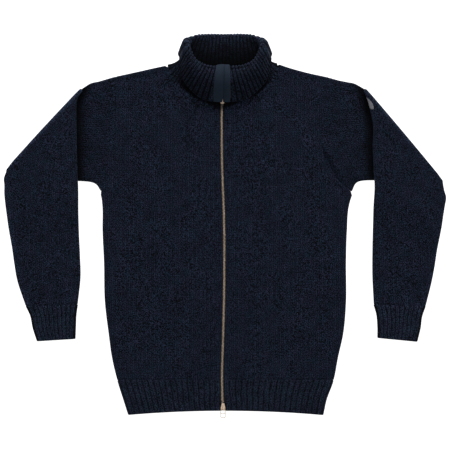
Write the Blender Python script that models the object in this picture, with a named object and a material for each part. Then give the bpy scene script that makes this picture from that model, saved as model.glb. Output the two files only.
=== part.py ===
"""Wool cardigan laid out flat, front up: two-way front zip, rolled rib collar, ribbed hem and cuffs.

Frame: +Z up from the surface it lies on, +Y towards the collar, the wearer's right arm at -X.
Origin: the middle of the outline, on the surface. Sizes below are millimetres; meshes are metres.

The body is a flattened tube of knit: a back, two fronts, and ribbed bands round the hem. Each sleeve
is a flattened tube that runs out from its armhole and is folded over its own front along a slanted
line, so that its lower half lies on its upper half and shows the back of the sleeve. The collar is a
ribbed tube that rises from the neckline, rolls over and comes down again on its outer side.
"""
import bmesh
import bpy
import numpy as np

MM = 0.001

# ---- cloth -------------------------------------------------------------------------------------
KNIT_WALL = 3.0        # plain knit
RIB_WALL = 3.6         # ribbing, without its ribs
RIB_RISE = 1.0         # how far a rib stands above the groove beside it
INNER_TURN = 1.0       # radius inside a soft folded edge; half the space between two flat layers
SEAM_GAP = 0.3         # space between two pieces that are sewn together
NECK_GAP = 1.4         # the same from the collar's curve to the corners of the panels' straight steps
ARMHOLE_GAP = 0.5      # the same at the armholes
BODY_TURN = INNER_TURN + KNIT_WALL    # outer radius of a folded edge of plain knit
RIB_TURN = INNER_TURN + RIB_WALL      # the same for ribbing
FRONT_LOFT = 0.6       # how far the fronts are lifted by the zip tape behind their edges
FRONT_SWELL = 2.0      # extra lift in the middle of each front
EDGE_ANGLES = (0.0, 30.0, 60.0)       # steps of a folded edge, from the side seam to the flat
ARMHOLE_POINTS = 8     # points shared by an armhole and the top of its sleeve
SIDE_POINTS = 7        # points of a side edge from the hem to the underarm

# ---- ribs --------------------------------------------------------------------------------------
HEM_RIBS = 23          # on each front band
CUFF_RIBS = 11         # on the side of a cuff that shows
COLLAR_RIBS = 60       # round the whole collar

# ---- body outline: distance up the body, wearer's right edge, wearer's left edge ------------------
SIDE_EDGES = (
    (-395, -204, 207),
    (-363, -214, 214),
    (-325, -226, 228),
    (-279, -237, 237),
    (-229, -244, 248),
    (-162, -252, 254),
    (-78, -254, 254),
    (-10, -257, 256),
    (42, -257, 260),
    (61, -258, 264),
    (71, -260, 266),
)
# armhole seams from the underarm to the shoulder tip: x, y
ARMHOLE_RIGHT = ((-260, 71), (-249, 105), (-235, 158), (-229, 242), (-231, 311))
ARMHOLE_LEFT = ((266, 70), (239, 91), (213, 122), (204, 160), (206, 220), (220, 309))
# shoulder folds from the neck to the shoulder tip: x, y
SHOULDER_RIGHT = ((-124, 335), (-145, 330), (-185, 321), (-231, 311))
SHOULDER_LEFT = ((110, 339), (134, 330), (166, 321), (220, 309))

# ---- ribbed hem: its seam with the body and its free edge, both bowed -----------------------------
HEM_SEAM_Y = -325.0
HEM_EDGE_Y = -389.5
HEM_BOW = 9.0          # the free edge hangs this much lower at the side seams
HEM_HALF = 205.0       # distance from the middle at which it does

# ---- zip: distance up the body, x of the middle of the teeth --------------------------------------
ZIP_LINE = (
    (-395, -4.0),
    (-325, -6.3),
    (-241, -4.2),
    (-157, -2.1),
    (10, -2.1),
    (136, -6.3),
    (242, -7.0),
)
CHAIN_HALF = 2.8       # half the width of the closed teeth
CHAIN_THICK = 2.4      # their height
CHAIN_PART = 0.15      # half the space between the two rows, so that they stay two pieces
TAPE_THICK = 0.8
TAPE_REACH = 12.0      # tape's outer edge, from the middle of the teeth
CHAIN_SLOT = 3.1       # half the space between the two knitted edges
SLIDER_SLOT = 5.9      # the same beside a slider
SLOT_OPENS = (-352.0, -366.0)         # where the space widens for the bottom slider
TAPE_LIFT = 2.5        # middle of the tape from the middle of the collar's wall, on the inner side
TAPE_SHARE = 0.955     # outer edge of the tape on the collar
CHAIN_START = -373.5   # where the closed teeth leave the bottom slider
# distance up the body, height of the middle of the tape
CHAIN_HEIGHTS = ((-400, 5.5), (-331, 5.5), (-325, 5.1), (-290, 4.7), (242, 4.7))
BODY_OFFSET = 1000.0   # a step along the zip on the body is its distance up the body less this

# ---- bottom slider and its pull --------------------------------------------------------------------
SLIDER_ENDS = (-388.5, -373.8)        # distance up the body of its mouth and of its nose
SLIDER_HALF = 5.0      # half its width at the mouth
# distance from the mouth, share of the full width
SLIDER_SHAPE = ((0.0, 0.93), (1.6, 1.0), (9.0, 0.96), (13.2, 0.8), (14.7, 0.66))
SLIDER_WEB = 3.0       # half the width of the wedge between its two plates
SLIDER_LEVELS = (3.9, 4.6, 7.0, 8.2)  # bottom and top of the lower plate, then of the upper one
# arch that holds the pull, outside and inside: distance up the body, height
ARCH_OUTSIDE = ((-387.9, 7.6), (-387.9, 10.4), (-387.2, 11.4), (-384.4, 11.4), (-380.0, 9.4), (-378.0, 7.6))
ARCH_INSIDE = ((-387.0, 7.6), (-387.0, 10.1), (-386.6, 10.6), (-384.5, 10.6), (-382.2, 9.4), (-381.6, 7.6))
ARCH_HALF = 1.2        # half its width
PULL_PIVOT = (-4.2, -385.5, 9.6)      # axis of the bottom slider's pull
PULL_SLOPE = 9.0       # degrees it points down from level, at rest
PULL_LENGTH = 18.5     # from its axis to the middle of its end wire
PULL_HALF = 5.2        # half its width
PULL_WIRE = 1.2        # thickness of its wire
PULL_BAR = (-8.6, -9.8)               # near and far side of the bar across its middle

# ---- top slider, seen from its back, and the strips beside it ---------------------------------------
TOP_SLIDER_STEPS = (2.87, 3.04)       # its narrow and its wide end, as steps along the collar
# share of the way from the narrow to the wide end, share of the full width
TOP_SLIDER_SHAPE = ((0.0, 0.66), (0.15, 0.72), (0.6, 0.9), (0.9, 1.0), (1.0, 0.95))
TOP_SLIDER_WEB = 2.9
TOP_SLIDER_LEVELS = (0.1, 1.0, 2.9, 3.65)     # its plates, from the middle of the collar's wall
TOP_PULL_STEPS = (2.76, 2.99)         # ends of its pull, which lies between the collar and the body
TOP_PULL_HALF = 2.5
TOP_PULL_LEVELS = (-1.6, -0.4)
FACING_LIFT = 4.4      # middle of the strips that cover the inside of the zip on the collar
FACING_THICK = 0.8
FACING_SHARE = (0.91, 0.935)          # their outer edges, at the roll and at the free edge
FACING_OPENS = 2.79    # step along the collar at which they part round the top slider
FACING_PARTS = 5.2     # how far each has moved aside at the free edge
FACING_INNER = 0.25    # half the space between the two strips

# ---- collar: share of the way round from the middle of the back (0) to the zip (-1 right, 1 left);
# ---- its neck seam, the line where it rolls over, and the free edge of the turned-down layer -------
COLLAR_LINES = (
    (-1.00, -10.2, 242, -6.2, 326, -11.3, 257),
    (-0.87, -40, 254, -24, 326, -36, 260),
    (-0.73, -70, 270, -43, 332, -61, 274),
    (-0.60, -94, 290, -61, 346, -81, 295),
    (-0.467, -111, 315, -70, 371, -94, 317),
    (-0.367, -117, 335, -72, 386, -88, 350),
    (-0.267, -99, 327, -69, 392, -79, 350),
    (-0.14, -52, 316, -38, 395, -42, 332),
    (0.00, -6, 312, 0, 395, -4, 330),
    (0.14, 40, 317, 38, 395, 36, 332),
    (0.267, 86, 329, 68, 392, 77, 350),
    (0.367, 106, 338, 73, 384, 86, 350),
    (0.467, 104, 321, 71, 370, 94, 321),
    (0.60, 91, 295, 61, 345, 82, 298),
    (0.73, 67, 273, 43, 332, 57, 280),
    (0.87, 34, 257, 21, 326, 28, 264),
    (1.00, -3.8, 242, 0.2, 326, 0.3, 257),
)
COLLAR_KNEE = ((-83, 339), (79, 341))  # where the stand turns up from the shoulder, right and left
CREASE_SHARE = 0.367   # the two places where the collar's front half folds onto its back half
CREASE_SPAN = 0.13     # share on each side of a crease in which the wall swings round it
KNEE_SPAN = 0.12       # the same for the pull towards the knee
CREASE_PRESS = 1.7     # how much thinner the wall is pressed inside a crease of the stand
STAND_FRONT = (7.2, 25.0)      # height of the front stand at the seam and at the roll
STAND_BACK = (1.8, 8.8)        # the same for the back stand
STAND_BACK_RISE = (0.17, 0.8)  # share of the stand in which the back climbs, at the middle and creases
TURN_FRONT = (16.5, 33.0)      # height of the turned-down layer at its free edge and at the roll
TURN_BACK = 1.8        # the same at the back, where that layer lies on the surface
TURN_CREASE = (14.0, 19.0)     # how far that layer stands out at the creases, at edge and roll

# ---- sleeves: stations from the armhole to the cuff seam. The shoulder-line edge and the underarm
# ---- edge of the flattened tube in plan, the angle it has been folded over by, its middle height ---
SLEEVE_RIGHT = (
    (-231, 311, -260, 71, 0, 4.0),
    (-248, 306, -292, 87, 0, 4.0),
    (-265, 301, -338, 94, 0, 4.0),
    (-281, 294, -388, 104, 0, 4.0),
    (-297, 281, -451, 113.5, 0, 4.0),
    (-297, 281, -451, 113.5, 180, 13.2),
    (-310, 258, -463, 97, 180, 13.2),
    (-311, 206, -462, 84, 180, 13.2),
    (-310, 162, -462, 65, 180, 13.2),
    (-309, 116, -460, 44, 180, 13.2),
    (-307, 74, -457, 21, 180, 13.0),
    (-307, 27, -453, -10, 180, 9.4),
    (-306, -19, -447, -46, 180, 5.6),
    (-304, -65, -442, -82, 180, 4.2),
    (-303, -111, -435, -120, 180, 4.0),
    (-309, -167, -418, -170, 180, 4.0),
)
SLEEVE_LEFT = (
    (220, 309, 266, 70, 0, 4.0),
    (237, 304, 288, 87, 0, 4.0),
    (255, 300, 330, 93, 0, 4.0),
    (271, 293, 382, 92, 0, 4.0),
    (289, 281, 448, 90, 0, 4.0),
    (289, 281, 448, 90, 180, 13.2),
    (301, 252, 459, 73, 180, 13.2),
    (310, 206, 463, 57, 180, 13.2),
    (309, 162, 460, 38, 180, 13.2),
    (311, 120, 457, 19, 180, 13.2),
    (313, 80, 454, -2, 180, 13.0),
    (311, 40, 450, -25, 180, 9.4),
    (310, -6, 445, -52, 180, 5.6),
    (309, -57, 440, -86, 180, 4.2),
    (309, -107, 433, -122, 180, 4.0),
    (312, -167, 421, -170, 180, 4.0),
)
FOLD_STATION = 4       # the sleeve is folded between this station and the next
FOLD_STEPS = 5         # steps of the solid round that fold
LEAN_SHARE = 0.03      # share of the armhole over which its direction at an end is measured
SLEEVE_LOFT = (0.3, 1.8)       # lift of the upper face before and after the fold
ARMHOLE_FADE = 3.0     # stations over which the armhole's curve straightens out
# cuffs: the same columns without the angle and the height, from the seam to the free edge
CUFF_RIGHT = ((-309, -167, -418, -170), (-312, -189, -408, -191), (-313, -214, -403, -216),
              (-314, -239, -394, -244))
CUFF_LEFT = ((312, -167, 421, -170), (318, -189, 413, -193), (320, -214, 410, -216),
             (320, -237, 403, -245))

# ---- soft folds raised (+) or sunk (-) in the upper face: from x, y, to x, y, width, height --------
FOLDS = (
    (214, 160, 252, 92, 9, -1.6),
    (236, 162, 262, 104, 12, 1.6),
    (196, 150, 226, 96, 12, 0.8),
    (-262, 112, -300, 100, 14, 0.8),
    (-60, -170, -70, -300, 26, 0.9),
    (104, -120, 112, -290, 24, -0.9),
    (-150, 60, -120, -120, 34, 0.8),
    (150, 90, 132, -90, 34, 0.8),
)


# ==== curves and grids ==============================================================================
def smooth(keys, rows, at, still=()):
    """Values at `at` on smooth cubic pieces through the rows at the keys.

    Each piece joins two neighbouring rows; its slope at a row is the mean slope there, and zero at
    the keys named in `still`.
    """
    keys = np.asarray(keys, float)
    rows = np.asarray(rows, float)
    slopes = np.gradient(rows, keys, axis=0)
    for key in still:
        slopes[keys == key] = 0.0
    at = np.clip(np.asarray(at, float), keys[0], keys[-1])
    piece = np.clip(np.searchsorted(keys, at, side="right") - 1, 0, len(keys) - 2)
    span = keys[piece + 1] - keys[piece]
    share = ((at - keys[piece]) / span)[..., None]
    span = span[..., None]
    start = (2 * share**3 - 3 * share**2 + 1) * rows[piece]
    leave = (share**3 - 2 * share**2 + share) * span * slopes[piece]
    end = (3 * share**2 - 2 * share**3) * rows[piece + 1]
    arrive = (share**3 - share**2) * span * slopes[piece + 1]
    return start + leave + end + arrive


def along(points, shares):
    """Points at the given shares of the length of a smooth curve through `points`."""
    points = np.asarray(points, float)
    steps = np.linalg.norm(np.diff(points, axis=0), axis=1)
    keys = np.concatenate([[0.0], np.cumsum(steps)])
    return smooth(keys, points, np.asarray(shares) * keys[-1])


def unit(vectors):
    """Vectors of length one."""
    return vectors / np.linalg.norm(vectors, axis=-1, keepdims=True)


def left_normals(curve):
    """Unit normals on the left of a plan curve, as one walks along it."""
    tangent = unit(np.gradient(curve, axis=0))
    return np.stack([-tangent[:, 1], tangent[:, 0]], axis=1)


def upward(normals):
    """The same normals, each turned to point up the body."""
    return normals * np.sign(normals[:, 1:2])


def ramp(value):
    """0 below 0, 1 above 1, and a smooth rise between."""
    value = np.clip(value, 0.0, 1.0)
    return value * value * (3.0 - 2.0 * value)


def fold_lift(x, y):
    """Sum of the soft folds: each a rounded ridge across its line that fades out at both ends."""
    lift = np.zeros_like(x)
    for x0, y0, x1, y1, width, height in FOLDS:
        run = np.array([x1 - x0, y1 - y0], float)
        length = np.hypot(*run)
        run /= length
        ahead = ((x - x0) * run[0] + (y - y0) * run[1]) / length
        aside = (-(x - x0) * run[1] + (y - y0) * run[0]) / width
        fade = ramp((ahead + 0.25) / 0.4) * ramp((1.25 - ahead) / 0.4)
        lift += height * fade * np.exp(-aside**2)
    return lift


def zip_x(y):
    """x of the middle of the teeth at a distance y up the body."""
    keys, values = zip(*ZIP_LINE)
    return smooth(keys, np.array(values)[:, None], y)[..., 0]


def side_x(y, column):
    """x of the body's side edge; column 1 is the wearer's right, column 2 the left."""
    rows = np.array(SIDE_EDGES, float)
    return smooth(rows[:, 0], rows[:, column:column + 1], y)[..., 0]


def coons(bottom, top, left, right):
    """Grid between four plan curves: the two ruled grids added, less the one ruled by the corners."""
    across = np.linspace(0, 1, len(bottom))[None, :, None]
    up = np.linspace(0, 1, len(left))[:, None, None]
    between_ends = (1 - up) * bottom[None] + up * top[None]
    between_sides = (1 - across) * left[:, None] + across * right[:, None]
    corners = ((1 - up) * ((1 - across) * bottom[0] + across * bottom[-1])
               + up * ((1 - across) * top[0] + across * top[-1]))
    return between_ends + between_sides - corners


# ==== solids ========================================================================================
def clear_scene():
    """Remove the objects the scene starts with."""
    for thing in list(bpy.data.objects):
        bpy.data.objects.remove(thing, do_unlink=True)


def finish_material(name, colour, roughness, metallic=0.0):
    """Plain material in the piece's own colour."""
    material = bpy.data.materials.new(name)
    material.use_nodes = True
    shader = material.node_tree.nodes["Principled BSDF"]
    shader.inputs["Base Color"].default_value = (*colour, 1.0)
    shader.inputs["Roughness"].default_value = roughness
    shader.inputs["Metallic"].default_value = metallic
    return material


def make_object(name, vertices, faces, material):
    """Object from points in millimetres; its faces are turned to point outwards."""
    mesh = bpy.data.meshes.new(name)
    mesh.from_pydata((np.asarray(vertices) * MM).tolist(), [], faces)
    work = bmesh.new()
    work.from_mesh(mesh)
    bmesh.ops.recalc_face_normals(work, faces=work.faces)
    work.to_mesh(mesh)
    work.free()
    mesh.shade_smooth()
    mesh.set_sharp_from_angle(angle=np.radians(50))
    mesh.materials.append(material)
    thing = bpy.data.objects.new(name, mesh)
    bpy.context.collection.objects.link(thing)
    return thing


def grid_faces(rows, columns, closed, start):
    """Quads of a grid whose points are numbered row by row from `start`."""
    steps = columns if closed else columns - 1
    faces = []
    for row in range(rows - 1):
        for column in range(steps):
            beside = (column + 1) % columns
            low, high = start + row * columns, start + (row + 1) * columns
            faces.append((low + column, low + beside, high + beside, high + column))
    return faces


def wall(name, outer, inner, material, closed=False):
    """Solid between two grids of points: both faces, and rims along the open borders."""
    rows, columns = outer.shape[:2]
    count = rows * columns
    faces = grid_faces(rows, columns, closed, 0)
    faces += [face[::-1] for face in grid_faces(rows, columns, closed, count)]
    last = (rows - 1) * columns
    for column in range(columns if closed else columns - 1):
        beside = (column + 1) % columns
        faces.append((beside, column, count + column, count + beside))
        faces.append((last + column, last + beside, count + last + beside, count + last + column))
    if not closed:
        for row in range(rows - 1):
            here, above = row * columns, (row + 1) * columns
            faces.append((here, above, count + above, count + here))
            here, above = here + columns - 1, above + columns - 1
            faces.append((above, here, count + here, count + above))
    points = np.concatenate([outer.reshape(-1, 3), inner.reshape(-1, 3)])
    return make_object(name, points, faces, material)


def bar(name, rings, material):
    """Solid through rings of points, closed at both ends."""
    count, size = rings.shape[:2]
    faces = grid_faces(count, size, True, 0)
    faces.append(tuple(range(size)))
    faces.append(tuple(reversed(range((count - 1) * size, count * size))))
    return make_object(name, rings.reshape(-1, 3), faces, material)


# ==== body ==========================================================================================
def edge_columns(count, before, after):
    """Grid lines of a panel: its own lines, and the steps of a folded edge where one is asked for.

    Returns for each line: the panel line it starts from, which border it belongs to (-1 before, 0
    none, 1 after), and the cosine and sine of its angle round the folded edge.
    """
    angles = np.radians(EDGE_ANGLES)
    lines = []
    if before:
        lines += [(0, -1, np.cos(angle), np.sin(angle)) for angle in angles]
    lines += [(line, 0, 0.0, 1.0) for line in range(count)]
    if after:
        lines += [(count - 1, 1, np.cos(angle), np.sin(angle)) for angle in angles[::-1]]
    return np.array(lines)


def panel(name, plan, borders, facing, turn, middle, loft, relief, material):
    """One flat panel of the body.

    plan: (rows, columns, 2) grid, set in by `turn` from each border that is listed.
    borders: for "left", "right" and "top", the outward normals and how far each line of the grid
        is folded there (1 turns down to a seam at half height, 0 runs out flat).
    facing: 1 for a front, -1 for the back. turn: outer radius of the folded edge.
    middle: height of the seam. loft and relief: grids added to both faces, or to the outer one.
    """
    rows, columns = plan.shape[:2]
    across = edge_columns(columns, "left" in borders, "right" in borders)
    up = edge_columns(rows, False, "top" in borders)
    base_column = across[:, 0].astype(int)
    base_row = up[:, 0].astype(int)
    flat_rows = np.zeros(rows)
    side_out = np.zeros((len(up), len(across), 2))
    side_fold = np.zeros((len(up), len(across)))
    for border, side in (("left", -1), ("right", 1)):
        here = across[:, 1] == side
        normals, folded = borders.get(border, (np.zeros((rows, 2)), flat_rows))
        side_out[:, here] = normals[base_row][:, None]
        side_fold[:, here] = folded[base_row][:, None]
    top_out = np.zeros_like(side_out)
    top_fold = np.zeros_like(side_fold)
    if "top" in borders:
        here = up[:, 1] == 1
        normals, folded = borders["top"]
        top_out[here] = normals[base_column][None]
        top_fold[here] = folded[base_column][None]
    start = plan[base_row][:, base_column]
    lift = loft[base_row][:, base_column]
    ribs = relief[base_row][:, base_column]
    side_cos, side_sin = across[None, :, 2], across[None, :, 3]
    top_cos, top_sin = up[:, None, 2], up[:, None, 3]
    rise = (side_fold * side_sin + 1 - side_fold) * (top_fold * top_sin + 1 - top_fold)

    def face(radius, extra):
        side_reach = (side_fold * radius + (1 - side_fold) * turn) * side_cos
        top_reach = (top_fold * radius + (1 - top_fold) * turn) * top_cos
        flat = start + side_out * side_reach[..., None] + top_out * top_reach[..., None]
        half_gap = SEAM_GAP / 2
        height = middle + facing * (half_gap + rise * (radius + lift + extra - half_gap))
        return np.concatenate([flat, height[..., None]], axis=2)

    return wall(name, face(turn, ribs), face(INNER_TURN, 0.0), material)


def side_outline(right, heights, column):
    """Plan points of one side of the body from the hem seam up, with their outward normals.

    `heights` are the rows below the underarm; the armhole's curve gives the rows above it.
    """
    side = np.stack([side_x(heights, column), heights], axis=1)
    outward = left_normals(side) if right else -left_normals(side)
    return side, outward


def body_side(right, low_rows, high_rows):
    """Side edge and armhole of the body as one line of plan points, normals and folding."""
    column = 1 if right else 2
    hole = ARMHOLE_RIGHT if right else ARMHOLE_LEFT
    heights = np.linspace(HEM_SEAM_Y + SEAM_GAP, hole[0][1] - 2 * BODY_TURN, low_rows)
    side, side_normals = side_outline(right, heights, column)
    arm = along(hole[::-1], armhole_shares(right, np.linspace(1, 0, high_rows)))
    arm_normals = left_normals(arm) if right else -left_normals(arm)
    arm = arm - arm_normals * ARMHOLE_GAP
    line = np.concatenate([side, arm])
    normals = np.concatenate([side_normals, arm_normals])
    folded = np.concatenate([np.ones(low_rows), np.zeros(high_rows)])
    return line, normals, folded


def collar_turn(share):
    """Angle of the collar's wall: -90 degrees on the back half, 90 on the front half."""
    swing = np.clip((np.abs(share) - CREASE_SHARE) / CREASE_SPAN, -1, 1)
    return np.pi / 2 * (1.5 * swing - 0.5 * swing**3)


def neck_line(front, right, count):
    """Half of the neck seam on a panel, from the zip or middle back to the neck point.

    It follows the collar's own seam and goes round the outside of the collar's crease.
    """
    side = -1 if right else 1
    middle = 1.0 if front else 0.0
    share = side * (CREASE_SHARE + (middle - CREASE_SHARE) * np.linspace(1, 0, count)**1.3)
    rows = np.array(COLLAR_LINES, float)
    line = smooth(rows[:, 0], rows[:, 1:3], share)
    round_crease = (STAND_FRONT[0] - STAND_BACK[0] + RIB_WALL) / 2
    line[:, 0] += side * np.cos(collar_turn(share)) * round_crease
    return line


def shoulder_line(right, shares):
    """Shoulder fold from the neck point to the shoulder tip."""
    rows = np.array(SHOULDER_RIGHT if right else SHOULDER_LEFT, float)
    rows[0] = neck_line(True, right, 2)[-1]
    return along(rows, shares)


def shoulder_shares(columns):
    """Shares along a shoulder from its tip: even steps, and one more just beside the neck."""
    return np.concatenate([np.linspace(1, 0, columns)[:-1], [0.08, 0.0]])


def front_top(right, neck_columns, shoulder_columns):
    """Top border of a front from the shoulder tip to the zip: plan points, normals, folding."""
    shoulder = shoulder_line(right, shoulder_shares(shoulder_columns))
    neck = neck_line(True, right, neck_columns + 1)[::-1]
    line = np.concatenate([shoulder[:-1], neck])
    shoulder_out = upward(left_normals(shoulder)[:-1])
    neck_out = upward(left_normals(neck))
    normals = np.concatenate([shoulder_out, neck_out])
    folded = np.concatenate([np.ones(shoulder_columns), np.zeros(neck_columns + 1)])
    line[shoulder_columns:] -= neck_out * NECK_GAP
    return line, normals, folded


def make_front(right, material):
    """One front, from the hem seam to the shoulder and from its side seam to the zip."""
    low_rows, high_rows = SIDE_POINTS, ARMHOLE_POINTS
    shoulder_columns, neck_columns = 3, 6
    side, side_out, side_fold = body_side(right, low_rows, high_rows)
    top, top_out, top_fold = front_top(right, neck_columns, shoulder_columns)
    sign = -1 if right else 1
    heights = np.linspace(side[0, 1], top[-1, 1] - BODY_TURN, low_rows + high_rows)
    edge = np.stack([zip_x(heights) + sign * CHAIN_SLOT, heights], axis=1)
    inset_side = side - side_out * BODY_TURN
    inset_top = top - top_out * BODY_TURN
    top_out[0] = unit(side[-1] - side[-2])
    top_out[-1] = (0.0, 1.0)
    inset_top[0] = inset_side[-1]
    inset_top[shoulder_columns] -= top_out[shoulder_columns - 1] * BODY_TURN
    inset_top[-1] = edge[-1]
    across = np.linspace(0, 1, shoulder_columns + neck_columns + 1)[:, None]
    bottom = inset_side[0] * (1 - across) + edge[0] * across
    plan = coons(bottom, inset_top, inset_side, edge)
    share_across = across[:, 0][None, :]
    share_up = np.linspace(0, 1, len(heights))[:, None]
    swell = np.sin(np.pi * share_across) * np.sin(np.pi * (0.1 + 0.8 * share_up))
    loft = FRONT_LOFT + FRONT_SWELL * swell * share_across**0.5 + fold_lift(plan[..., 0], plan[..., 1])
    borders = {"left": (side_out, side_fold), "top": (top_out, top_fold)}
    name = "front_right" if right else "front_left"
    return panel(name, plan, borders, 1, BODY_TURN, BODY_TURN, loft, np.zeros_like(loft), material)


def make_back(material):
    """The whole back, in one piece from side seam to side seam."""
    low_rows, high_rows = SIDE_POINTS, ARMHOLE_POINTS
    shoulder_columns, neck_columns = 3, 4
    right, right_out, right_fold = body_side(True, low_rows, high_rows)
    left, left_out, left_fold = body_side(False, low_rows, high_rows)
    neck_right = neck_line(False, True, neck_columns + 1)[::-1]
    neck_left = neck_line(False, False, neck_columns + 1)
    shoulder_right = shoulder_line(True, shoulder_shares(shoulder_columns))
    shoulder_left = shoulder_line(False, shoulder_shares(shoulder_columns)[::-1])
    top = np.concatenate([shoulder_right[:-1], neck_right, neck_left[1:], shoulder_left[1:]])
    top_out = left_normals(top)
    neck_lines = slice(shoulder_columns, shoulder_columns + 2 * neck_columns + 1)
    top_fold = np.ones(len(top))
    top_fold[neck_lines] = 0.0
    top[neck_lines] -= top_out[neck_lines] * NECK_GAP
    inset_top = top - top_out * BODY_TURN
    inset_right = right - right_out * BODY_TURN
    inset_left = left - left_out * BODY_TURN
    top_out[0] = unit(right[-1] - right[-2])
    top_out[-1] = unit(left[-1] - left[-2])
    inset_top[0] = inset_right[-1]
    inset_top[-1] = inset_left[-1]
    inset_top[shoulder_columns] -= top_out[shoulder_columns - 1] * BODY_TURN
    inset_top[-1 - shoulder_columns] -= top_out[-shoulder_columns] * BODY_TURN
    across = np.linspace(0, 1, len(top))[:, None]
    bottom = inset_right[0] * (1 - across) + inset_left[0] * across
    plan = coons(bottom, inset_top, inset_right, inset_left)
    flat = np.zeros(plan.shape[:2])
    borders = {"left": (right_out, right_fold), "right": (left_out, left_fold),
               "top": (top_out, top_fold)}
    return panel("body_back", plan, borders, -1, BODY_TURN, BODY_TURN, flat, flat, material)


# ==== ribbed hem ====================================================================================
def hem_rows(front):
    """Distances up the body of the hem band's grid rows at the middle of the body."""
    if front:
        return np.array([HEM_EDGE_Y, SLOT_OPENS[1], SLOT_OPENS[0], HEM_SEAM_Y - SEAM_GAP])
    return np.array([HEM_EDGE_Y, HEM_SEAM_Y - SEAM_GAP])


def hem_drop(x, y):
    """How much lower the bowed band lies at x than at the middle; nothing at its seam."""
    share = (HEM_SEAM_Y - y) / (HEM_SEAM_Y - HEM_EDGE_Y)
    return HEM_BOW * (x / HEM_HALF)**2 * share


def make_hem_front(right, material):
    """Ribbed band below one front."""
    column = 1 if right else 2
    sign = -1 if right else 1
    heights = hem_rows(True)
    side, side_out = side_outline(right, heights - hem_drop(HEM_HALF, heights), column)
    slot = CHAIN_SLOT + (SLIDER_SLOT - CHAIN_SLOT) * ramp(
        (SLOT_OPENS[0] - heights) / (SLOT_OPENS[0] - SLOT_OPENS[1]))
    edge = np.stack([zip_x(heights) + sign * slot, heights], axis=1)
    across = np.linspace(0, 1, 2 * HEM_RIBS + 1)
    inset = side - side_out * RIB_TURN
    x = inset[:, None, 0] * (1 - across) + edge[:, None, 0] * across
    y = heights[:, None] - hem_drop(x, heights[:, None])
    plan = np.stack([x, y], axis=2)
    ribs = RIB_RISE * (np.arange(len(across)) % 2) * np.ones((len(heights), 1))
    loft = np.full(x.shape, FRONT_LOFT)
    borders = {"left": (side_out, np.ones(len(heights)))}
    name = "hem_rib_front_right" if right else "hem_rib_front_left"
    return panel(name, plan, borders, 1, RIB_TURN, RIB_TURN, loft, ribs, material)


def make_hem_back(material):
    """Ribbed band below the back; it lies on the surface, so its outer face is flat."""
    heights = hem_rows(False)
    side_heights = heights - hem_drop(HEM_HALF, heights)
    right, right_out = side_outline(True, side_heights, 1)
    left, left_out = side_outline(False, side_heights, 2)
    across = np.linspace(0, 1, 15)
    start = right - right_out * RIB_TURN
    end = left - left_out * RIB_TURN
    x = start[:, None, 0] * (1 - across) + end[:, None, 0] * across
    y = heights[:, None] - hem_drop(x, heights[:, None])
    flat = np.zeros(x.shape)
    borders = {"left": (right_out, np.ones(2)), "right": (left_out, np.ones(2))}
    plan = np.stack([x, y], axis=2)
    return panel("hem_rib_back", plan, borders, -1, RIB_TURN, RIB_TURN, flat, flat, material)


# ==== sleeves and cuffs =============================================================================
def tube_section(back_steps, front_steps, turn_steps):
    """Points round a flattened tube: share across it, and angle round its folded edges.

    The back layer (-90 degrees) runs from the shoulder-line edge to the underarm edge, the front
    layer (+90) runs back.
    """
    back = np.linspace(0, 1, back_steps + 1)
    front = np.linspace(1, 0, front_steps + 1)
    turn = np.linspace(-90, 90, turn_steps + 1)[1:-1]
    shares = np.concatenate([back, np.ones(len(turn)), front, np.zeros(len(turn))])
    angles = np.concatenate([np.full(len(back), -90.0), turn, np.full(len(front), 90.0), turn + 180.0])
    return shares, np.radians(angles)


def sleeve_rows(right, stations):
    """Edges, fold angle and middle height of the sleeve at any stations."""
    rows = np.array(SLEEVE_RIGHT if right else SLEEVE_LEFT, float)
    keys = np.arange(len(rows))
    still = (FOLD_STATION, FOLD_STATION + 1)
    values = smooth(keys, rows[:, :4], stations, still)
    turned = np.clip(stations - FOLD_STATION, 0, 1) * np.pi
    low, high = rows[FOLD_STATION, 5], rows[FOLD_STATION + 1, 5]
    lift = smooth(keys, rows[:, 5:6], stations, still)[:, 0]
    inside = (stations > FOLD_STATION) & (stations < FOLD_STATION + 1)
    lift[inside] = low + (high - low) / 2 * (1 - np.cos(turned[inside]))
    return values[:, 0:2], values[:, 2:4], turned, lift, (high - low) / 2


def armhole_shares(right, shares):
    """Shares of the armhole's length for shares across a sleeve between its two folded edges."""
    hole = np.array(ARMHOLE_RIGHT if right else ARMHOLE_LEFT, float)
    edge = BODY_TURN / np.hypot(*(hole[-1] - hole[0]))
    return edge + shares * (1 - 2 * edge)


def armhole_bow(right, stations, shares):
    """How far the armhole's curve stands off its own chord, fading out along the sleeve."""
    hole = np.array((ARMHOLE_RIGHT if right else ARMHOLE_LEFT)[::-1], float)
    inside = armhole_shares(right, shares)
    chord = hole[0] + (hole[-1] - hole[0]) * inside[:, None]
    fade = 1 - ramp(stations / ARMHOLE_FADE)
    return fade[:, None, None] * (along(hole, inside) - chord)[None]


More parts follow.
